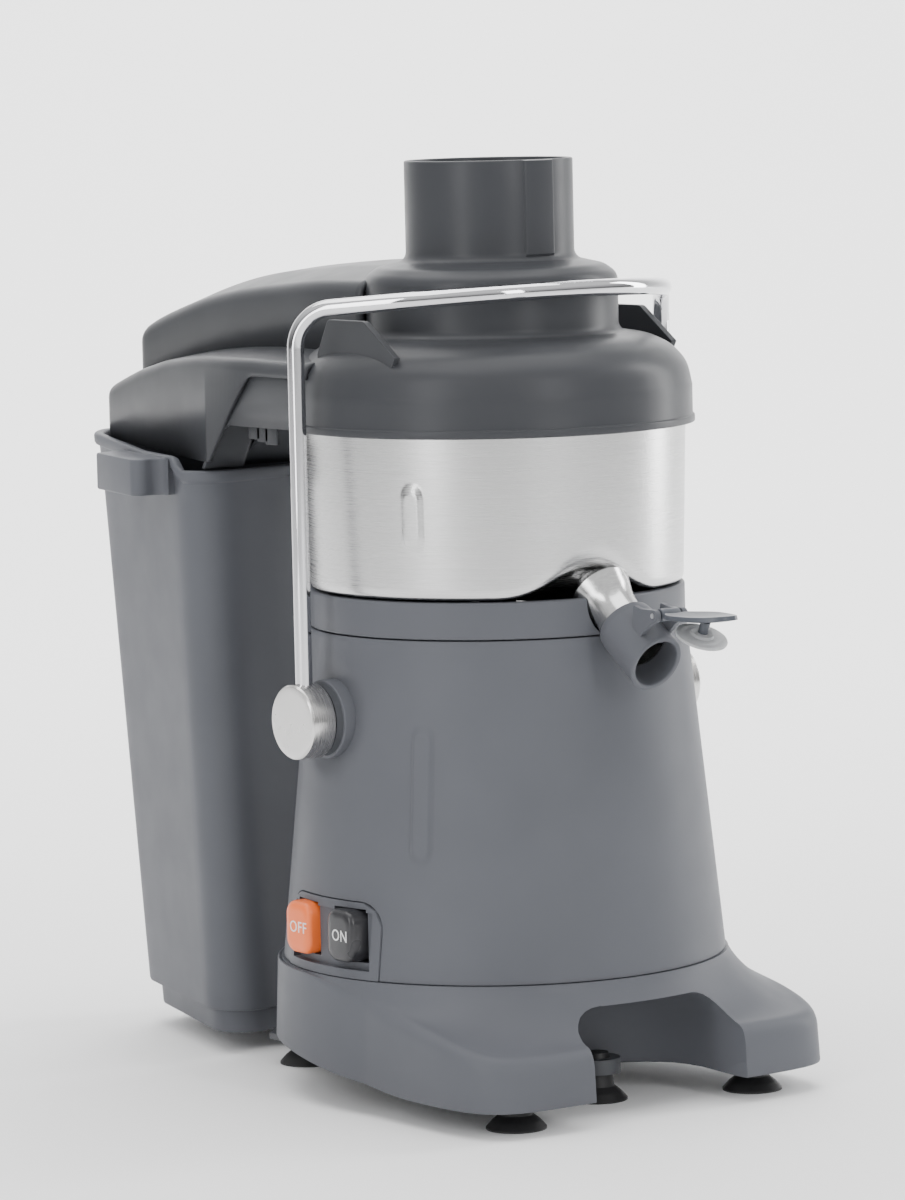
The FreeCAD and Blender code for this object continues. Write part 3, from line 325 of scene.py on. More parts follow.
def make_camera():
    """The view of the juicer from the front left, a little above it."""
    azimuth = math.radians(-35.706)
    elevation = math.radians(5.935)
    roll = math.radians(-1.279)
    away = Vector((
        math.sin(azimuth) * math.cos(elevation), -math.cos(azimuth) * math.cos(elevation),
        math.sin(elevation)))
    level_right = Vector((math.cos(azimuth), math.sin(azimuth), 0))
    level_up = away.cross(level_right)
    right = level_right * math.cos(roll) + level_up * math.sin(roll)
    up = level_up * math.cos(roll) - level_right * math.sin(roll)
    aim = Vector((0, AXIS_Y, 240))
    distance, shift_right, shift_up = 2591.9, -21.1, -10.2
    place = (aim + away * distance + right * shift_right + up * shift_up) * MM
    lens = bpy.data.cameras.new("camera")
    lens.lens = 164.0
    lens.sensor_width = 36
    lens.clip_end = 50
    camera = linked("camera", lens)
    camera.matrix_world = Matrix.Translation(place) @ Matrix((right, up, away)).transposed().to_4x4()
    bpy.context.scene.camera = camera


def make_floor():
    """A pale sheet that lies on the ground and curves up behind the juicer."""
    look = Look("studio_sheet", (0.93, 0.93, 0.93), 0.85)
    look.vary_roughness(look.noise(3), 0.8, 0.9)
    path = rounded([(-6, 0), (3.2, 0), (3.2, 5)], [0, 1.6, 0], 16)
    points = []
    for across in (-7, 7):
        points += [(across, along, level) for along, level in path]
    count = len(path)
    faces = [(i, i + 1, count + i + 1, count + i) for i in range(count - 1)]
    mesh = bpy.data.meshes.new("studio_floor")
    mesh.from_pydata(points, [], faces)
    mesh.shade_smooth()
    mesh.materials.append(look.material)
    floor = linked("studio_floor", mesh)
    floor.rotation_euler.z = math.radians(-35.7)


def soft_light(name, place, aim, size, power):
    """A rectangular area light, in metres and watts, that faces a point."""
    data = bpy.data.lights.new(name, "AREA")
    data.shape = "RECTANGLE"
    data.size, data.size_y = size
    data.energy = power
    lamp = linked(name, data)
    lamp.location = place
    towards = Vector(aim) - Vector(place)
    lamp.rotation_euler = towards.to_track_quat("-Z", "Y").to_euler()


def make_lights():
    """A white surround that is dimmer towards the ground, and five large soft lights."""
    world = bpy.data.worlds.new("studio")
    world.use_nodes = True
    background = world.node_tree.nodes["Background"]
    background.inputs["Color"].default_value = (1, 1, 1, 1)
    nodes = world.node_tree.nodes
    direction = nodes.new("ShaderNodeTexCoord")
    upward = nodes.new("ShaderNodeSeparateXYZ")
    brightness = nodes.new("ShaderNodeMapRange")
    for socket, value in (("From Min", 0.02), ("From Max", 0.55), ("To Min", 0.16), ("To Max", 1.0)):
        brightness.inputs[socket].default_value = value
    world.node_tree.links.new(direction.outputs["Generated"], upward.inputs[0])
    world.node_tree.links.new(upward.outputs["Z"], brightness.inputs["Value"])
    world.node_tree.links.new(brightness.outputs["Result"], background.inputs["Strength"])
    bpy.context.scene.world = world
    soft_light("left_box", (-2.3, -0.7, 1.0), (0, 0, 0.25), (0.6, 2.0), 24)
    soft_light("front_box", (-0.1, -2.8, 1.2), (0, 0, 0.25), (0.5, 1.8), 22)
    soft_light("right_box", (2.2, -0.5, 0.9), (0, 0, 0.25), (0.5, 2.0), 38)
    soft_light("top_box", (0.0, 0.4, 2.4), (0, 0.2, 0.2), (2.4, 2.4), 60)
    soft_light("backdrop_wash", (0.9, 1.3, 2.7), (2.2, 3.1, 1.0), (2.4, 1.0), 130)


# ---------------------------------------------------------------- looks


class Look:
    """A procedural material and the record's slot that it belongs to."""

    def __init__(self, name, colour, roughness, metallic=0.0, slot=None, **sockets):
        self.material = bpy.data.materials.new(name)
        self.material.use_nodes = True
        self.tree = self.material.node_tree
        self.shader = self.tree.nodes["Principled BSDF"]
        self.colour = colour
        self.slot = slot
        self.set("Base Color", (*colour, 1))
        self.set("Roughness", roughness)
        self.set("Metallic", metallic)
        for socket, value in sockets.items():
            self.set(socket.replace("_", " "), value)

    def set(self, socket, value):
        self.shader.inputs[socket].default_value = value

    def node(self, kind, **inputs):
        made = self.tree.nodes.new(kind)
        for socket, value in inputs.items():
            made.inputs[socket.replace("_", " ")].default_value = value
        return made

    def noise(self, scale, detail=2.0, stretch=(1, 1, 1)):
        """A noise over the object's own metres, finer with a larger scale."""
        place = self.node("ShaderNodeTexCoord")
        mapping = self.node("ShaderNodeMapping", Scale=stretch)
        texture = self.node("ShaderNodeTexNoise", Scale=scale, Detail=detail)
        self.tree.links.new(place.outputs["Object"], mapping.inputs["Vector"])
        self.tree.links.new(mapping.outputs["Vector"], texture.inputs["Vector"])
        return texture.outputs["Fac"]

    def spread(self, source, low, high, first=0.3, last=0.7):
        """Maps a noise to a range of values."""
        ranged = self.node(
            "ShaderNodeMapRange", From_Min=first, From_Max=last, To_Min=low, To_Max=high)
        self.tree.links.new(source, ranged.inputs["Value"])
        return ranged.outputs["Result"]

    def vary_roughness(self, source, low, high):
        self.tree.links.new(self.spread(source, low, high), self.shader.inputs["Roughness"])
        return self

    def vary_colour(self, source, shift):
        """Lightens and darkens the colour by a share."""
        mix = self.node("ShaderNodeMix")
        mix.data_type = "RGBA"
        dark = [channel * (1 - shift) for channel in self.colour]
        light = [min(channel * (1 + shift), 1) for channel in self.colour]
        for socket, value in ((6, dark), (7, light)):
            mix.inputs[socket].default_value = (*value, 1)
        self.tree.links.new(self.spread(source, 0, 1), mix.inputs[0])
        self.tree.links.new(mix.outputs[2], self.shader.inputs["Base Color"])
        return self

    def bump(self, source, height, strength=1.0):
        """Raises the surface by a noise, height in metres."""
        raised = self.node("ShaderNodeBump", Strength=strength, Distance=height)
        self.tree.links.new(source, raised.inputs["Height"])
        last = self.shader.inputs["Normal"].links
        if last:
            self.tree.links.new(last[0].from_socket, raised.inputs["Normal"])
        self.tree.links.new(raised.outputs["Normal"], self.shader.inputs["Normal"])
        return self


def moulded(name, colour, roughness, slot, grain=0.00003, **sockets):
    """Moulded plastic: a faint flow pattern, a fine grain and patches of wear in its gloss."""
    look = Look(name, colour, roughness, slot=slot, **sockets)
    look.vary_colour(look.noise(14, 3), 0.05)
    look.vary_roughness(look.noise(45, 2), roughness - 0.03, roughness + 0.03)
    look.bump(look.noise(1500, 1), grain, 0.5)
    return look


def brushed(name, colour, roughness, slot, stretch, streak=0.03, **sockets):
    """Brushed steel: long fine streaks, with the brushing across the stretched direction."""
    look = Look(name, colour, roughness, 1.0, slot=slot, **sockets)
    streaks = look.noise(1, 2, stretch)
    look.vary_colour(streaks, 0.05)
    look.vary_roughness(streaks, roughness - streak, roughness + streak)
    look.bump(streaks, 0.000004, 0.3)
    return look


def make_looks():
    """Every look by its short name."""
    looks = {
        "shell": moulded("moulded_blue_grey", (0.097, 0.101, 0.114), 0.46, "blue_grey_plastic",
                         Specular_IOR_Level=0.14),
        "lid": moulded("moulded_lid_grey", (0.045, 0.047, 0.052), 0.37, "satin_grey_plastic",
                       Specular_IOR_Level=0.2),
        "dark": moulded("moulded_dark_grey", (0.05, 0.053, 0.06), 0.5, "dark_grey_plastic"),
        "pale": moulded("moulded_light_grey", (0.3, 0.32, 0.35), 0.42, "light_grey_plastic"),
        "black": moulded("moulded_black", (0.02, 0.02, 0.023), 0.3, "black_plastic"),
        "orange": moulded("moulded_orange", (0.86, 0.16, 0.03), 0.32, "orange_plastic"),
        "rubber": moulded("suction_rubber", (0.012, 0.012, 0.013), 0.55, "black_rubber", 0.00006),
        "steel": brushed("brushed_round", (0.6, 0.6, 0.6), 0.27, "brushed_steel", (9, 9, 4200),
                         Anisotropic=0.5),
        "spout": brushed("brushed_spout", (0.6, 0.6, 0.6), 0.22, "brushed_steel", (60, 900, 900)),
        "zinc": brushed("zinc_plate", (0.55, 0.56, 0.58), 0.35, "zinc_steel", (400, 400, 400)),
        "iron": brushed("varnished_core", (0.2, 0.2, 0.21), 0.5, "core_iron", (40, 40, 1500)),
        "copper": brushed("copper_bars", (0.72, 0.4, 0.24), 0.3, "copper_bars", (300, 300, 30)),
        "cast": brushed("cast_bracket", (0.6, 0.6, 0.6), 0.55, "cast_bracket", (900, 900, 900)),
        "board": moulded("circuit_board", (0.03, 0.16, 0.08), 0.4, "circuit_board"),
    }
    chrome = Look("polished_chrome", (0.66, 0.66, 0.68), 0.06, 1.0, "chromed_steel")
    chrome.vary_roughness(chrome.noise(40, 3), 0.04, 0.09)
    chrome.bump(chrome.noise(25, 1), 0.00006, 0.3)
    looks["chrome"] = chrome
    seal = Look(
        "clear_silicone", (0.55, 0.56, 0.57), 0.35, slot="translucent_seal",
        Transmission_Weight=0.45, IOR=1.41)
    seal.vary_colour(seal.noise(220, 2), 0.06)
    seal.vary_roughness(seal.noise(300, 2), 0.3, 0.42)
    looks["seal"] = seal
    looks["flap"] = moulded("moulded_flap_grey", (0.062, 0.069, 0.084), 0.38, "light_grey_plastic")
    looks["knob"] = brushed(
        "turned_knob", (0.68, 0.67, 0.66), 0.25, "brushed_steel", (2600, 60, 60), 0.05)
    looks["mark"] = moulded("white_marks", (0.75, 0.75, 0.75), 0.4, "light_grey_plastic")
    return looks


SLOT_LOOKS = {
    "blue_grey_plastic": "shell", "satin_grey_plastic": "lid", "dark_grey_plastic": "dark",
    "light_grey_plastic": "pale", "black_plastic": "black", "orange_plastic": "orange",
    "brushed_steel": "steel", "chromed_steel": "chrome", "zinc_steel": "zinc",
    "black_rubber": "rubber", "translucent_seal": "seal", "core_iron": "iron",
    "copper_bars": "copper", "cast_bracket": "cast", "circuit_board": "board",
}


def dress_cad():
    """Gives every CAD node the procedural look of its slot."""
    for entry in frame["record"]["subparts"]:
        node = frame["nodes"][entry["node"]]
        dress(node, LOOKS[SLOT_LOOKS[entry["material_slot"]]])
        node.data.shade_smooth()
        node.data.set_sharp_from_angle(angle=math.radians(28))


# ---------------------------------------------------------------- lid


def make_dome():
    """The lid's rim, dome, tower and feed tube, turned in one piece, with the tube's keyway rib."""
    tube, bore = 39.8, 37.5
    under = BOWL_TOP + 0.4
    wall = 94.2
    rim = rounded(
        [(LID_RADIUS - 5.6, under), (LID_RADIUS, under), (LID_RADIUS, 316.6), (wall, 317.2), (wall, 328)],
        [0, 0.6, 0.6, 0.4, 0], 3)
    dome = flowing([(wall, 331), (91.6, 341.2), (85.6, 348.6), (79, 352.7), (73, 355), (67.5, 356)], 6)
    tower = rounded(
        [(66.2, 356.2), (60, 356.9), (60, 384), (53.5, 388.6), (46, 390.3)], [0, 4.6, 7, 9, 0], 7)
    foot = rounded([(45, 390.6), (tube, 391.6), (tube, 402)], [0, 5, 0], 6)
    mouth = rounded(
        [(tube, 420), (tube, TUBE_TOP), (bore, TUBE_TOP), (bore, 302), (tube, 302), (tube, 383)],
        [0, 0.9, 0.7, 0, 0, 0], 3)
    inside = [(52, 383), (57, 378), (57, 353), (70, 351), (88, 340), (91, 330), (LID_RADIUS - 5.6, 322)]

    def keyway(angle, radius, level):
        across = abs(math.degrees(angle) - 270)
        if tube - 0.2 < radius < tube + 0.2 and level > 394:
            return radius + 1.1 * min(max(12.4 - across, 0), 1), level
        return radius, level

    angles = every(2, [(270, 14, 0.5)])
    points, faces = spun(rim + dome + tower + foot + mouth + inside, angles, keyway)
    piece("lid_dome", points, faces, LOOKS["lid"], "base", ["lid", "feed_tube"], 38)


def hood_section(along, half, foot, crest, crown, shoulder):
    """One slice across a hood: upright sides, rounded shoulders and an arched top."""
    half = max(half, shoulder * 1.6)
    side = [(half, foot), (half, crest), (half * 0.5, crown - (crown - crest) * 0.22)]
    outline = side + [(0, crown)] + [(-across, level) for across, level in reversed(side)]
    radii = [0, shoulder, 40, 60, 40, shoulder, 0]
    return [Vector((point[0], along, point[1])) for point in rounded(outline, radii, 7)]


def hood(name, sizes, feet, ends, shoulder, corner, wall, replaced=()):
    """A shell lofted along y. sizes rows are (y, half width, crest, crown), feet rows (y, foot)."""
    first, last = ends
    straight = last - corner
    runs, corner_runs = 44, 10
    stations = [first + (straight - first) * step / runs for step in range(runs + 1)]
    stations += [along for along, _ in feet[1:-1] if first < along < straight]
    rows = [(along, 0.0) for along in sorted(stations)]
    for step in range(1, corner_runs + 1):
        turn = math.pi / 2 * step / corner_runs
        rows.append((straight + corner * math.sin(turn), corner * (1 - math.cos(turn))))
    slices = []
    for along, inset in rows:
        half, crest, crown = between(sizes, along)
        foot = straight_between(feet, along)
        slices.append(hood_section(along, half - inset, foot, crest, crown, shoulder))
    points, faces = grid(slices, False)
    wide = len(slices[0])
    faces.append(tuple(range(len(points) - wide, len(points))))
    shell = piece(name, points, faces, LOOKS["lid"], "base", replaced, 40)
    return thickened(shell, wall)


def straight_between(stations, along):
    """The value of a table of (along, value) rows, in straight runs between them."""
    for (start, low), (end, high) in zip(stations, stations[1:]):
        if along <= end:
            return low + (high - low) * max(along - start, 0) / max(end - start, 1e-9)
    return stations[-1][1]


def make_hoods():
    """The two tiers of the hood over the pulp bin, and the duct that shows under the lower one."""
    hood(
        "lid_hood_upper",
        [(20, 58.4, 382, 390.6), (64, 58, 381, 390.4), (96, 55.8, 378.6, 388.8),
         (140, 52.8, 374.4, 385.2), (170, 50.8, 370, 380.6), (200, 48.8, 363.5, 373.4),
         (222, 47.3, 358, 365.5), (236, 46.4, 353.6, 357.5), (243, 46, 350.6, 352.6)],
        [(20, 345), (243, 322)], (24, 242.6), 7.5, 12, 2.4, ["lid_hood"])
    cut_edge = [tuple(point) for point in rounded(
        [(20, 338.4), (72, 338.4), (115.5, 295), (251, 299.6)], [0, 10, 2.5, 0], 5)]
    hood(
        "lid_hood_lower",
        [(20, 91.2, 345.2, 352), (57, 91.2, 345.6, 352.6), (88, 91, 345.8, 352.6),
         (127, 84.8, 344.8, 351), (167, 76.8, 341.4, 347.4), (193, 71.7, 337.2, 342),
         (209, 68.5, 334.2, 338), (235, 63.3, 327.8, 330.4), (251.6, 60, 323, 324.6)],
        cut_edge, (24, 251.6), 6, 12, 2.4)
    hood(
        "lid_duct",
        [(20, 87.6, 342, 349), (96, 87.4, 343, 349), (131, 80.6, 341.4, 347), (140, 78, 340, 346)],
        [(20, 313.8), (96, 313.8), (132, 300), (140, 300)], (24, 139), 6, 3, 2.2)


def make_chute():
    """The channel under the duct that drops pulp into the bin, and the drip ribs beside it."""
    for side in (-1, 1):
        rows = []
        for level, front in ((313.6, 104.5), (302, 112), (292.6, 118), (291.6, 118.6)):
            outline = rounded(
                [(86.5, front), (62, front), (62, 131), (64.2, 131), (64.2, front + 2.4),
                 (86.5, front + 2.4)],
                [0, 3.2, 0, 0, 1, 0], 6, True)
            rows.append([Vector((point[0] * side, point[1], level)) for point in outline])
        points, faces = capped(rows)
        cheek = piece(
            f"chute_cheek_{side + 2}", points, faces, LOOKS["lid"], "base",
            ["pulp_chute"] if side < 0 else ())
        softened(cheek, 0.4)
    front = [(-61.8, 96, 312.6), (61.8, 96, 312.6), (61.8, 130.6, 293), (-61.8, 130.6, 293)]
    back = [(x, y, z - 2) for x, y, z in front]
    faces = [(0, 1, 2, 3), (4, 5, 6, 7), (0, 1, 5, 4), (1, 2, 6, 5), (2, 3, 7, 6), (3, 0, 4, 7)]
    piece("chute_slope", front + back, faces, LOOKS["lid"], "base")
    for side in (-1, 1):
        for index in range(3):
            along = 66 + 7 * index
            outline = rounded([(-0.8, -5), (0.8, -5), (0.8, 5), (-0.8, 5)], [0.7] * 4, 3, True)
            outline = [(x + 82 * side, y + along) for x, y in outline]
            points, faces = slab(outline, 305.5 + index, 314.5, 0.5)
            piece(f"drip_rib_{side + 2}_{index}", points, faces, LOOKS["lid"], "base")


def make_ramps():
    """Fins on the lid's shoulders that hold the bow of the bail up."""
    outline = rounded(
        [(-36.5, 350), (-12, 366.3), (17, 366.3), (26, 350), (26, 340), (-22, 342), (-33.5, 344.8)],
        [0.8, 5, 3, 0, 0, 0, 1], 5)
    for side in (-1, 1):
        points, faces = plate(outline, 78.9 * side, 82.3 * side)
        fin = piece(f"bail_ramp_{side + 2}", points, faces, LOOKS["lid"], "base")
        softened(fin, 0.45)


# ---------------------------------------------------------------- bowl and spout

SPOUT_FALL = math.radians(36)
SPOUT_MOUTH = Vector((0, -122, 209))
SPOUT_AHEAD = Vector((0, -math.cos(SPOUT_FALL), -math.sin(SPOUT_FALL)))
FLAP_PIN = Vector((0, -131.5, 232.5))


def raised_oval(distance, level, middle, half_width, half_height, height):
    """A raised rib with round ends and soft flanks."""
    beyond = max(abs(level - middle) - (half_height - half_width), 0)
    edge = 1 - math.hypot(distance, beyond) / half_width
    flank = 0.42
    return height * eased(edge / flank)


def arch_rise(across):
    """How far the bowl's lower edge lifts over the spout."""
    reach = 45 if across < -8 else 43
    share = min(abs(across + 8) / reach, 1)
    return 12.5 * (0.5 + 0.5 * math.cos(math.pi * share)) ** 1.1


def make_bowl():
    """The steel bowl: a slight flare, an oval rib, and a lower edge drawn up over the spout."""
    low, high = 238.5, BOWL_TOP - 0.1
    foot_radius = 88.4
    shares = [0, 0.01, 0.025, 0.045, 0.07, 0.1, 0.13, 0.17, 0.21]
    shares += [0.25 + 0.75 * step / 34 for step in range(35)]
    rib = math.radians(208.5)
    angles = every(1.8, [(208.5, 6, 0.4), (270, 36, 0.9)])
    rows = []
    for share in shares:
        row = []
        for angle in angles:
            radius = foot_radius + (BOWL_RADIUS - foot_radius) * share
            across = radius * math.cos(angle)
            rise = arch_rise(across) if math.sin(angle) < 0 else 0
            level = low + rise + (high - low - rise) * share
            above = level - low - rise
            curl = 2.2 + rise * 0.42
            depth = 3.5 + rise * 0.5
            if above < depth:
                radius -= curl * (1 - math.sqrt(max(1 - (1 - above / depth) ** 2, 0)))
            radius += raised_oval(radius * (angle - rib), level, 276.5, 5.8, 15, 1.5)
            row.append(Vector((radius * math.cos(angle), radius * math.sin(angle), level)))
        rows.append(row)
    turned_under = []
    for inward, sink in ((12, 1), (7.5, 0.86), (4, 0.6), (1.6, 0.25)):
        ring = []
        for point in rows[0]:
            share = 1 - inward / math.hypot(point.x, point.y)
            level = point.z - (point.z - low - 0.2) * sink
            ring.append(Vector((point.x * share, point.y * share, level + 0.1 * inward)))
        turned_under.append(ring)
    inner = [Vector((point.x * 0.985, point.y * 0.985, point.z)) for point in rows[-1]]
    points, faces = grid(turned_under + rows + [inner])
    bowl = piece("bowl_shell", points, faces, LOOKS["steel"], "base", ["bowl"], 60)
    thickened(bowl, 0.5)


def make_spout():
    """The steel tube that falls from the bowl, flared where it is welded on."""
    length = 58
    start = SPOUT_MOUTH - SPOUT_AHEAD * length
    profile = flowing([(15.2, 7), (13.6, 12), (12.1, 16.5), (11.2, 21), (11, 26)], 5)
    profile += [
        (11, 31), (11, 38), (11, length - 11.4), (10.8, length - 11), (10.1, length - 11), (10, 1)]
    points, faces = spun(profile, every(5), where=facing(start, SPOUT_AHEAD))
    piece("spout_pipe", points, faces, LOOKS["spout"], "base", ["spout_tube"], 45)


def make_nozzle():
    """The moulded sleeve on the spout's end, with a slanted mouth and two ears for the flap."""
    tilt = math.tan(math.radians(12))
    where = facing(SPOUT_MOUTH, SPOUT_AHEAD)
    up = (where.inverted().to_3x3() @ Vector((0, 0, 1))).normalized()

    def slanted(angle, radius, level):
        share = min(max((level + 24) / 20, 0), 1)
        height = radius * (math.cos(angle) * up.x + math.sin(angle) * up.y)
        return radius, level - share * height * tilt

    profile = rounded(
        [(11.1, -29), (13.4, -29), (14, -25), (14, 0), (11.3, 0), (11.1, -14)],
        [0, 1.2, 1, 1, 0.8, 0], 4)
    profile = profile[:-1] + [(11.2, -3), (11.15, -9), (11.1, -14)]
    sleeve_rows = [(radius, level) for radius, level in profile]
    dense = []
    for (radius, level), (after, beyond) in zip(sleeve_rows, sleeve_rows[1:]):
        runs = max(int(abs(beyond - level) / 4), 1)
        for run in range(runs):
            share = run / runs
            dense.append((radius + (after - radius) * share, level + (beyond - level) * share))
    dense.append(sleeve_rows[-1])
    points, faces = spun(dense, every(5), slanted, where)
    piece("nozzle_sleeve", points, faces, LOOKS["shell"], "base", ["spout_nozzle"], 42)
    _, pin_y, pin_z = FLAP_PIN
    outline = rounded(
        [(-2.8, 2.6), (-2.8, -2.2), (3.4, -5), (16, -15), (14.5, 4), (9, 2.6)],
        [2.4, 1.5, 1, 0, 1, 2], 5, True)
    outline = [(pin_y + along, pin_z + level) for along, level in outline]
    for side in (-1, 1):
        points, faces = plate(outline, 6.4 * side, 9.2 * side)
        ear = piece(f"nozzle_ear_{side + 2}", points, faces, LOOKS["shell"], "base")
        softened(ear, 0.35)


def make_flap():
    """The flap: a cupped leaf with a pointed front, its barrel, its stem and its ribbed seal."""
    pin_z = FLAP_PIN.z
    tip, root = -176.8, -136.5
    widths = [(tip, 2.2), (-174.5, 5.4), (-169, 8.9), (-161, 12), (-152, 13.2), (-145, 11.6),
              (-139.5, 8.4), (root, 5.9)]
    rows = []
    for step in range(29):
        share = step / 28
        along = tip + (root - tip) * share
        (half,) = between(widths, along)
        lift = 0.0034 * (along + 152) ** 2
        row = []
        for index in range(17):
            across = half * (index / 8 - 1)
            level = pin_z + 0.2 + lift * 1.15 + 1.5 * (across / 13.2) ** 2
            row.append(Vector((across, along, level)))
        rows.append(row)
    points, faces = grid(rows, False)
    leaf = piece("flap_leaf", points, faces, LOOKS["flap"], "flap", ["spout_flap"], 50)
    thickened(leaf, 2.1)
    softened(leaf, 0.7, 3, 40)
    barrel = rounded([(0.05, -5.4), (3, -5.4), (3, 5.4), (0.05, 5.4)], [0, 0.6, 0.6, 0], 3)
    points, faces = spun(barrel, every(10), where=facing(FLAP_PIN, (1, 0, 0)))
    piece("flap_barrel", points, faces, LOOKS["flap"], "flap")
    tilt = math.radians(24)
    outward = Vector((0, -math.cos(tilt), -math.sin(tilt)))
    opened = Matrix.Rotation(math.radians(-90), 3, "X")
    centre = FLAP_PIN + opened @ (SPOUT_MOUTH + outward * 0.4 - FLAP_PIN)
    away = opened @ outward
    stem = rounded([(0.05, -1.1), (3.5, -1.1), (3.5, -0.1), (2.3, 0.2), (2.3, 8.6), (0.05, 8.6)],
                   [0, 0.4, 0.4, 0, 0, 0], 3)
    points, faces = spun(stem, every(10), where=facing(centre, away))
    piece("flap_stem", points, faces, LOOKS["flap"], "flap")
    disc = [(2.4, 0), (4, -0.1), (4.6, 0.4), (6.4, 0.3), (6.9, 0.8), (7.4, 0.3), (9.6, 0.2), (10.1, 0.7),
            (10.6, 0.2), (12.1, 0.1), (12.2, 0.7), (12, 1.3), (5.4, 1.7), (5, 3), (2.4, 3.1)]
    points, faces = spun(disc, every(6), where=facing(centre, away))
    piece("flap_disc", points, faces, LOOKS["seal"], "flap", ["flap_seal"], 60)


# ---------------------------------------------------------------- motor housing

PIVOT = Vector((0, 7.3, 181))


def make_housing():
    """The cone over the motor, with an upright rib, dished round the bail's pivots."""
    rib = math.radians(211.5)
    top_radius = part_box("housing_collar")[1].x / MM + 0.3

    dish_radius, dish_depth = 29, 2.6

    def shaped(angle, radius, level):
        out = radius + raised_oval(radius * (angle - rib), level, 149.5, 6, 31.5, 1.5)
        away = math.hypot(radius * math.sin(angle) - PIVOT.y, level - PIVOT.z)
        return out - dish_depth * swell(away / dish_radius), level

    cone_top, runs = 220, 72
    levels = [SEAM + 0.9 + (cone_top - 0.8 - SEAM - 0.9) * step / runs for step in range(runs + 1)]
    wall = [(SEAM_RADIUS - (SEAM_RADIUS - top_radius) * (level - SEAM) / (cone_top - SEAM), level)
            for level in levels]
    profile = [(99, SEAM + 0.1), (SEAM_RADIUS - 0.7, SEAM + 0.1), (SEAM_RADIUS - 0.15, SEAM + 0.4)]
    profile += wall + [(top_radius - 0.4, 219.8), (top_radius - 1.2, 219.9), (83, 219.9)]
    profile += [(85, 215), (98, SEAM + 5)]
    angles = every(2, [(211.5, 5, 0.4), (175.5, 20, 1.1), (4.5, 20, 1.1)])
    points, faces = spun(profile, angles, shaped)
    housing = piece("housing_cone", points, faces, LOOKS["shell"], "base", ["motor_housing"], 40)
    carved(housing, *panel_hole())
    carved(housing, *notch_cylinder())
    collar = rounded(
        [(83, COLLAR_LOW + 0.5), (89, COLLAR_LOW + 0.5), (88.9, COLLAR_TOP - 0.5), (84, COLLAR_TOP - 0.3),
         (83, COLLAR_TOP - 1)], [0, 0.7, 1.1, 0, 0], 4)
    points, faces = spun(collar, every(2))
    ring = piece("collar_ring", points, faces, LOOKS["shell"], "base", ["housing_collar"], 40)
    carved(ring, *notch_cylinder())
    for side in (-1, 1):
        stub = rounded([(0.1, 84), (18.4, 84), (18.4, 97), (0.1, 97)], [0, 0, 0.8, 0], 4)
        where = facing((0, PIVOT.y, PIVOT.z), (side, 0, 0))
        points, faces = spun(stub, every(5), where=where)
        piece(f"pivot_boss_{side + 2}", points, faces, LOOKS["shell"], "base")


def notch_cylinder():
    """The round notch in the collar that clears the spout."""
    profile = [(0.01, 60), (16.6, 60), (16.6, 120), (0.01, 120)]
    points, faces = spun(profile, every(6), where=facing((0, 0, COLLAR_TOP - 2), (0, -1, 0)))
    return [Vector((point[0] * 0.8, point[1], point[2])) for point in points], faces


def panel_hole():
    """The switch panel's outline and a hairline gap, pushed through the housing's left side."""
    gap = 0.5
    half, top = 36 + gap, 98.3 + gap
    outline = rounded(
        [(-half, SEAM - 4), (half, SEAM - 4), (half, top), (-half, top)], [0, 0, 13, 13], 7, True)
    return plate(outline, -125, -80)


# ---------------------------------------------------------------- switches

KEY_LEVEL, KEY_FACE, MARK_SHIFT = 82.9, 108.1, 1.2


def make_buttons():
    """Two rocker faces with rounded corners and their plain state marks."""
    for name, along, look, mark in (("off", 17, "orange", "OFF"), ("on", -17, "black", "ON")):
        outline = rounded(
            [(-10, -12.3), (10, -12.3), (10, 12.3), (-10, 12.3)], [6.4] * 4, 7, True)
        rings = []
        for inset, out in ((0, 92.4), (0, 105.2), (0.3, 106.4), (1.1, 107.4), (2.3, 107.9), (5, 108.05)):
            ring = []
            for across, level in outline:
                shrink = 1 - inset / math.hypot(across, level)
                ring.append(Vector((-out, along + across * shrink, KEY_LEVEL + level * shrink)))
            rings.append(ring)
        points, faces = capped(rings)
        piece(f"{name}_key", points, faces, LOOKS[look], f"{name}_key", [f"{name}_button"], 50)
        state_mark(mark, along, f"{name}_key")


def state_mark(word, along, body):
    """The word for a switch state, as a thin inlay on the key."""
    curve = bpy.data.curves.new(f"mark_{word.lower()}_curve", "FONT")
    curve.body = word
    curve.align_x = "CENTER"
    curve.align_y = "CENTER"
    curve.size = 7.6
    curve.extrude = 0.06
    curve.space_character = 1.08
    curve.resolution_u = 4
    letters = linked("letters", curve)
    bpy.context.view_layer.update()
    seen = letters.evaluated_get(bpy.context.evaluated_depsgraph_get())
    mesh = bpy.data.meshes.new_from_object(seen)
    bpy.data.objects.remove(letters)
    points = [
        (-KEY_FACE - point.co.z, along - MARK_SHIFT - point.co.x, KEY_LEVEL + point.co.y)
        for point in mesh.vertices]
    faces = [tuple(face.vertices) for face in mesh.polygons]
    piece(f"mark_{word.lower()}", points, faces, LOOKS["mark"], body)


# ---------------------------------------------------------------- bail


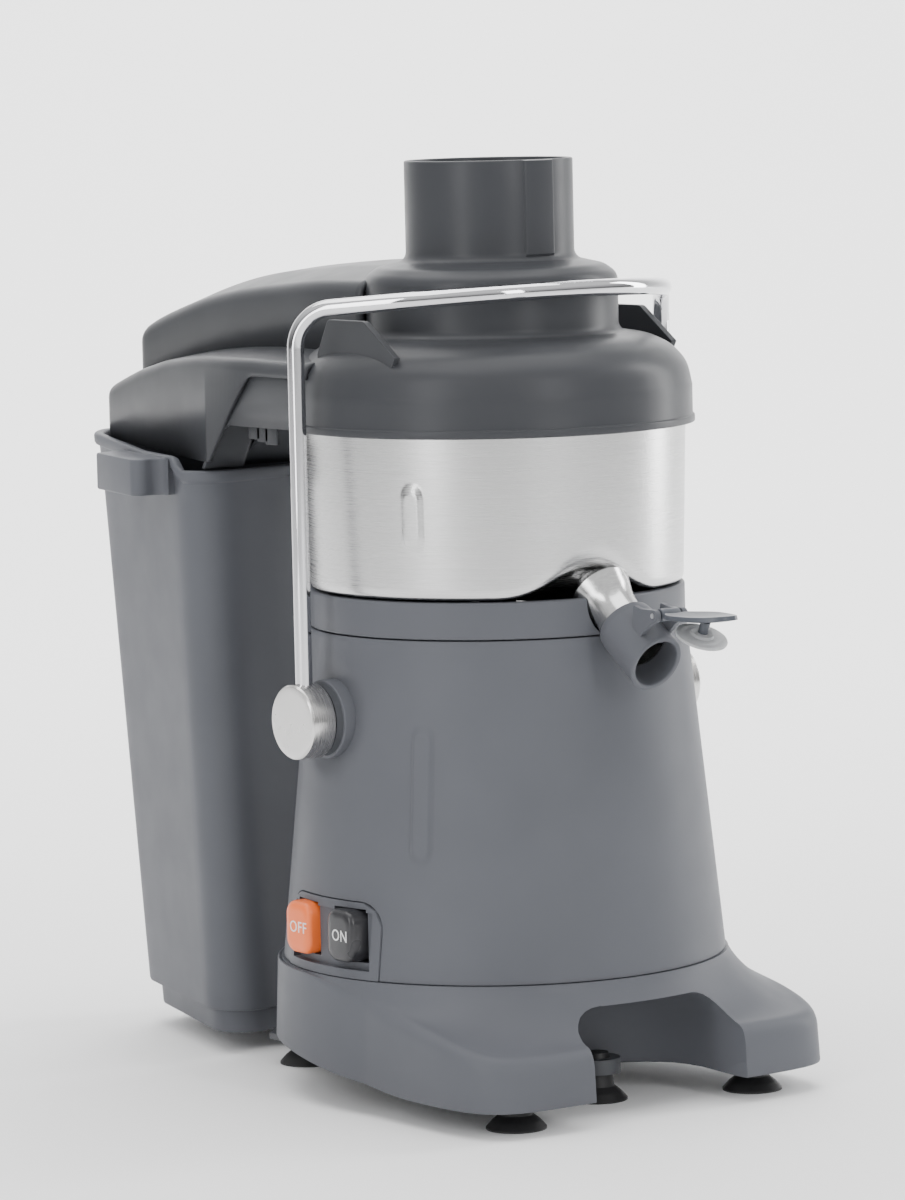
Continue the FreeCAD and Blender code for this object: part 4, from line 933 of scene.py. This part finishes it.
def make_bail():
    """The chromed rod and the turned knobs."""
    wide, shoulder, crown, front, bow, bend = 107, 371.7, 379, PIVOT.y - 75.5, 52, 19
    points = [
        Vector((-wide, PIVOT.y, 188.2)), Vector((-wide, PIVOT.y, shoulder)), Vector((-bow, front, crown)),
        Vector((bow, front, crown)), Vector((wide, PIVOT.y, shoulder)), Vector((wide, PIVOT.y, 188.2))]
    turn = (points[1] - points[2]).angle(Vector((1, 0, 0))) - math.pi
    sweep = bow * 0.96 * abs(math.tan((math.pi + turn) / 2))
    path = rounded(points, [0, bend, sweep, sweep, bend, 0], 22)
    points, faces = swept(path, 4, 28)
    piece("bail_rod", points, faces, LOOKS["chrome"], "bail", ["bail"], 60)
    for side, name in ((-1, "left"), (1, "right")):
        profile = rounded(
            [(0.05, 101), (16.8, 101), (17.5, 101.6), (17.5, 113.4), (16.6, 114.35), (0.05, 114.3)],
            [0, 0, 0.3, 0.3, 0.3, 0], 3)
        radii = []
        for (radius, level), (after, beyond) in zip(profile, profile[1:]):
            radii.append((radius, level))
            if abs(after - radius) > 5:
                radii += [(radius + (after - radius) * k / 6, level + (beyond - level) * k / 6)
                          for k in range(1, 6)]
        radii.append(tuple(profile[-1]))
        where = facing((0, PIVOT.y, PIVOT.z), (side, 0, 0))
        points, faces = spun(radii, every(4), where=where)
        piece(f"knob_{name}_turned", points, faces, LOOKS["knob"], "bail", [f"knob_{name}"], 30)


# ---------------------------------------------------------------- base

RECESS_HALF, RECESS_MIDDLE, RECESS_ROOF, RECESS_SPRING = 44, -103, 52, 17
SKIRT, SKIRT_INNER, SKIRT_TOP = 110.0, 106.6, 61.6


def skirt_radius(angle):
    """The base's plan: round, with a broad rounded front for the toes."""
    across, along = abs(math.cos(angle)), math.sin(angle)
    if along >= 0:
        return SKIRT
    power = 8
    front = ((across / 105.4) ** power + (-along / 128.4) ** power) ** (-1 / power)
    return max(front, SKIRT)


def crest_level(along):
    """How high the crest between the toe's top and its side runs."""
    return between(
        [(-128, 0, 35), (-118, 0, 36.5), (-104, 0, 39.5), (-86, 0, 43), (-60, 0, 46.5), (-38, 0, 50),
         (-10, 0, 57.5), (8, 0, 60.6), (30, 0, 61), (120, 0, 61)], along)[1]


def make_base():
    """The base: a round skirt that swells out to two toes, with a bay for the glass between them."""
    rows = []
    angles = every(2, [(270, 66, 1)])
    for angle in angles:
        radius = skirt_radius(angle)
        along = radius * math.sin(angle)
        crest = crest_level(along)
        out = radius - 1.6
        low = 12.2 + 11.8 * eased((along + 70) / 120)
        section = [(106.5, 62.6), (106.55, 61.9)]
        reach = out - SKIRT_INNER
        drop = SKIRT_TOP - crest
        soften = min(9.0, 1.2 + (radius - SKIRT) * 0.45 + drop * 0.35)
        fall = math.hypot(reach, drop)
        blend = min(soften, 0.55 * fall)
        for step in range(1, 9):
            share = (1 - blend / fall) * step / 8
            level = crest + 1.5 + (drop - 1.5) * (1 - share) ** 2.1
            section.append((SKIRT_INNER + reach * share, level))
        start = Vector(section[-1])
        corner = Vector((out, crest + 1.5))
        end = corner + (Vector((radius, low + 1)) - corner).normalized() * blend
        for step in range(1, 9):
            share = step / 8
            section.append(start.lerp(corner, share).lerp(corner.lerp(end, share), share))
        section.append(end.lerp(Vector((radius, low + 1)), 0.5))
        section.append((radius, low + 1))
        section += [(radius - 0.3, low + 0.2), (radius - 1, low)]
        rows.append([
            Vector((reach * math.cos(angle), reach * math.sin(angle), level))
            for reach, level in section])
    points, faces = grid(rows, False, True)
    wide = len(rows[0])
    faces.append(tuple(range(0, len(points), wide)))
    faces.append(tuple(range(wide - 1, len(points), wide))[::-1])
    base = piece("base_skirt", points, faces, LOOKS["shell"], "base", ["base_shell"], 40)
    carved(base, *bay_form())
    weigh_bay_edges(base)
    bevel = base.modifiers.new("bay_edges", "BEVEL")
    bevel.width = 3.2 * MM
    bevel.segments = 4
    bevel.limit_method = "WEIGHT"
    baked(base)
    base.data.shade_smooth()
    base.data.set_sharp_from_angle(angle=math.radians(40))


def bay_half(level):
    """Half the bay's width, which narrows to an arch under its roof."""
    above = max(level - (RECESS_ROOF - RECESS_SPRING), 0)
    return RECESS_HALF - (RECESS_SPRING - math.sqrt(max(RECESS_SPRING**2 - above**2, 0)))


def bay_form():
    """The space for the glass, as a closed form that is cut out of the base."""
    rows = []
    spring_level = RECESS_ROOF - RECESS_SPRING
    levels = [-10, 10, 20, 28, spring_level]
    levels += [spring_level + RECESS_SPRING * math.sin(math.pi / 2 * step / 7) for step in range(1, 8)]
    for level in levels:
        half = bay_half(min(level, RECESS_ROOF - 0.02))
        ring = [Vector((half, -150, level))]
        for step in range(25):
            turn = math.pi * step / 24
            ring.append(Vector((half * math.cos(turn), RECESS_MIDDLE + half * math.sin(turn), level)))
        ring.append(Vector((-half, -150, level)))
        rows.append(ring)
    return capped(rows)


def weigh_bay_edges(base):
    """Marks the edges where the bay meets the toes' tops, which are rounded off."""
    build = bmesh.new()
    build.from_mesh(base.data)
    weight = build.edges.layers.float.new("bevel_weight_edge")
    for edge in build.edges:
        if len(edge.link_faces) != 2 or edge.calc_face_angle(0) < math.radians(28):
            continue
        close = True
        for vert in edge.verts:
            across = abs(vert.co.x) / MM
            along = vert.co.y / MM - AXIS_Y
            level = vert.co.z / MM
            half = bay_half(level)
            reach = across if along < RECESS_MIDDLE else math.hypot(across, along - RECESS_MIDDLE)
            close = close and abs(reach - half) < 0.6 and level > 14
        if close:
            edge[weight] = 1
    build.to_mesh(base.data)
    build.free()


# ---------------------------------------------------------------- pulp bin

BIN_LOW, BIN_STEP, BIN_RIM, BIN_FRONT_RIM = 10, 22, 297, 290.5


def bin_walls(level, grow):
    """The bin's sides and back in plan at a level, moved out by grow, and its front's radius."""
    share = (level - BIN_LOW) / (BIN_RIM - BIN_LOW)
    front_x, front_y = 79 + 19 * share, 121 - 9 * share
    rear_x, rear_y = 45 + 16 * share, 258 + 10 * share
    hollow = 128 + 12 * (BIN_RIM - level) / (BIN_RIM - BIN_LOW) - grow
    across = front_x * 0.4
    reach = math.sqrt(hollow**2 - across**2)
    fx, rx, back, fy = front_x + grow, rear_x + grow, rear_y + grow, front_y - grow
    corners = [
        (across, reach), (fx, fy), (rx, back - 6), (0, back - 5), (-rx, back - 6), (-fx, fy),
        (-across, reach)]
    radii = [0, 18 + grow * 0.5, 24 + grow, 140, 24 + grow, 18 + grow * 0.5, 0]
    return rounded(corners, radii, 8), across, hollow


def bin_ring(level, grow, lift=0.0):
    """One ring of the bin at a nominal level, with its top following the stepped rim."""
    walls, across, hollow = bin_walls(level, grow)
    longest, _, _ = bin_walls(BIN_RIM, 0)
    side = []
    for index, (first, second) in enumerate(zip(walls, walls[1:])):
        runs = max(int((longest[index + 1] - longest[index]).length / 7), 1)
        side += [first.lerp(second, run / runs) for run in range(runs)]
    turn = math.asin(across / hollow)
    front = []
    for step in range(13):
        angle = -turn + 2 * turn * step / 12
        front.append(Vector((hollow * math.sin(angle), hollow * math.cos(angle))))
    ring = []
    for point in side + front[:-1]:
        height = (level - BIN_STEP) / (BIN_RIM - BIN_STEP)
        rim = rim_level(point.y)
        top = BIN_STEP + (rim - BIN_STEP) * height if level > BIN_STEP else level
        ring.append(Vector((point.x, point.y, top + lift)))
    return ring


def rim_level(along):
    """The rim's height: low at the hollow front, a step up, then a slow rise to the back."""
    rear = min(max((along - 180) / 82, 0), 1)
    return BIN_FRONT_RIM + (BIN_RIM - BIN_FRONT_RIM) * eased((along - 130.5) / 6) + 5.5 * rear


def make_bin():
    """The pulp bin: plinth, drafted walls with round corners, a rolled lip and two grips."""
    rings = []
    for level, grow in ((BIN_LOW, -6), (BIN_LOW + 0.4, -5.2), (BIN_LOW + 1.2, -5), (BIN_STEP - 1.4, -5),
                        (BIN_STEP - 0.6, -4.6), (BIN_STEP, -3.6), (BIN_STEP + 0.1, -1.2),
                        (BIN_STEP + 0.6, -0.3), (BIN_STEP + 1.6, 0)):
        rings.append(bin_ring(level, grow))
    for step in range(1, 24):
        rings.append(bin_ring(BIN_STEP + (BIN_RIM - 7 - BIN_STEP) * step / 24, 0))
    for down, grow in ((6.6, 0), (6, 0.5), (5.4, 1.8), (4.6, 2.2), (1.4, 2.4), (0.5, 2.1), (0, 1.4),
                       (0, -1.2), (0.4, -1.9), (1.2, -2.2)):
        rings.append(bin_ring(BIN_RIM, grow, -down))
    for step in range(8):
        rings.append(bin_ring(BIN_RIM - 4 - (BIN_RIM - BIN_STEP - 8) * step / 7, -2.2))
    rings.append(bin_ring(BIN_STEP + 2.4, -6))
    points, faces = capped(rings)
    piece("bin_shell", points, faces, LOOKS["shell"], "bin", ["pulp_bin"], 40)
    for side in (-1, 1):
        outline = rounded(
            [(88, 139), (94.2, 139), (90.4, 147.5), (111, 142.2), (96.3, 201.5), (76, 206.3),
             (74.4, 213), (72, 213)],
            [0, 0, 5, 5, 5, 5, 0, 0], 6, True)
        if side < 0:
            outline = [(-x, y) for x, y in reversed(outline)]
        points, faces = slab(outline, 278.2, 296, 1.1)
        piece(f"bin_grip_{side + 2}", points, faces, LOOKS["shell"], "bin", (), 50)


def make_all():
    make_dome()
    make_hoods()
    make_chute()
    make_ramps()
    make_bowl()
    make_spout()
    make_nozzle()
    make_flap()
    make_housing()
    make_buttons()
    make_bail()
    make_base()
    make_bin()


make_camera()
make_floor()
make_lights()
LOOKS = make_looks()
dress_cad()
make_all()
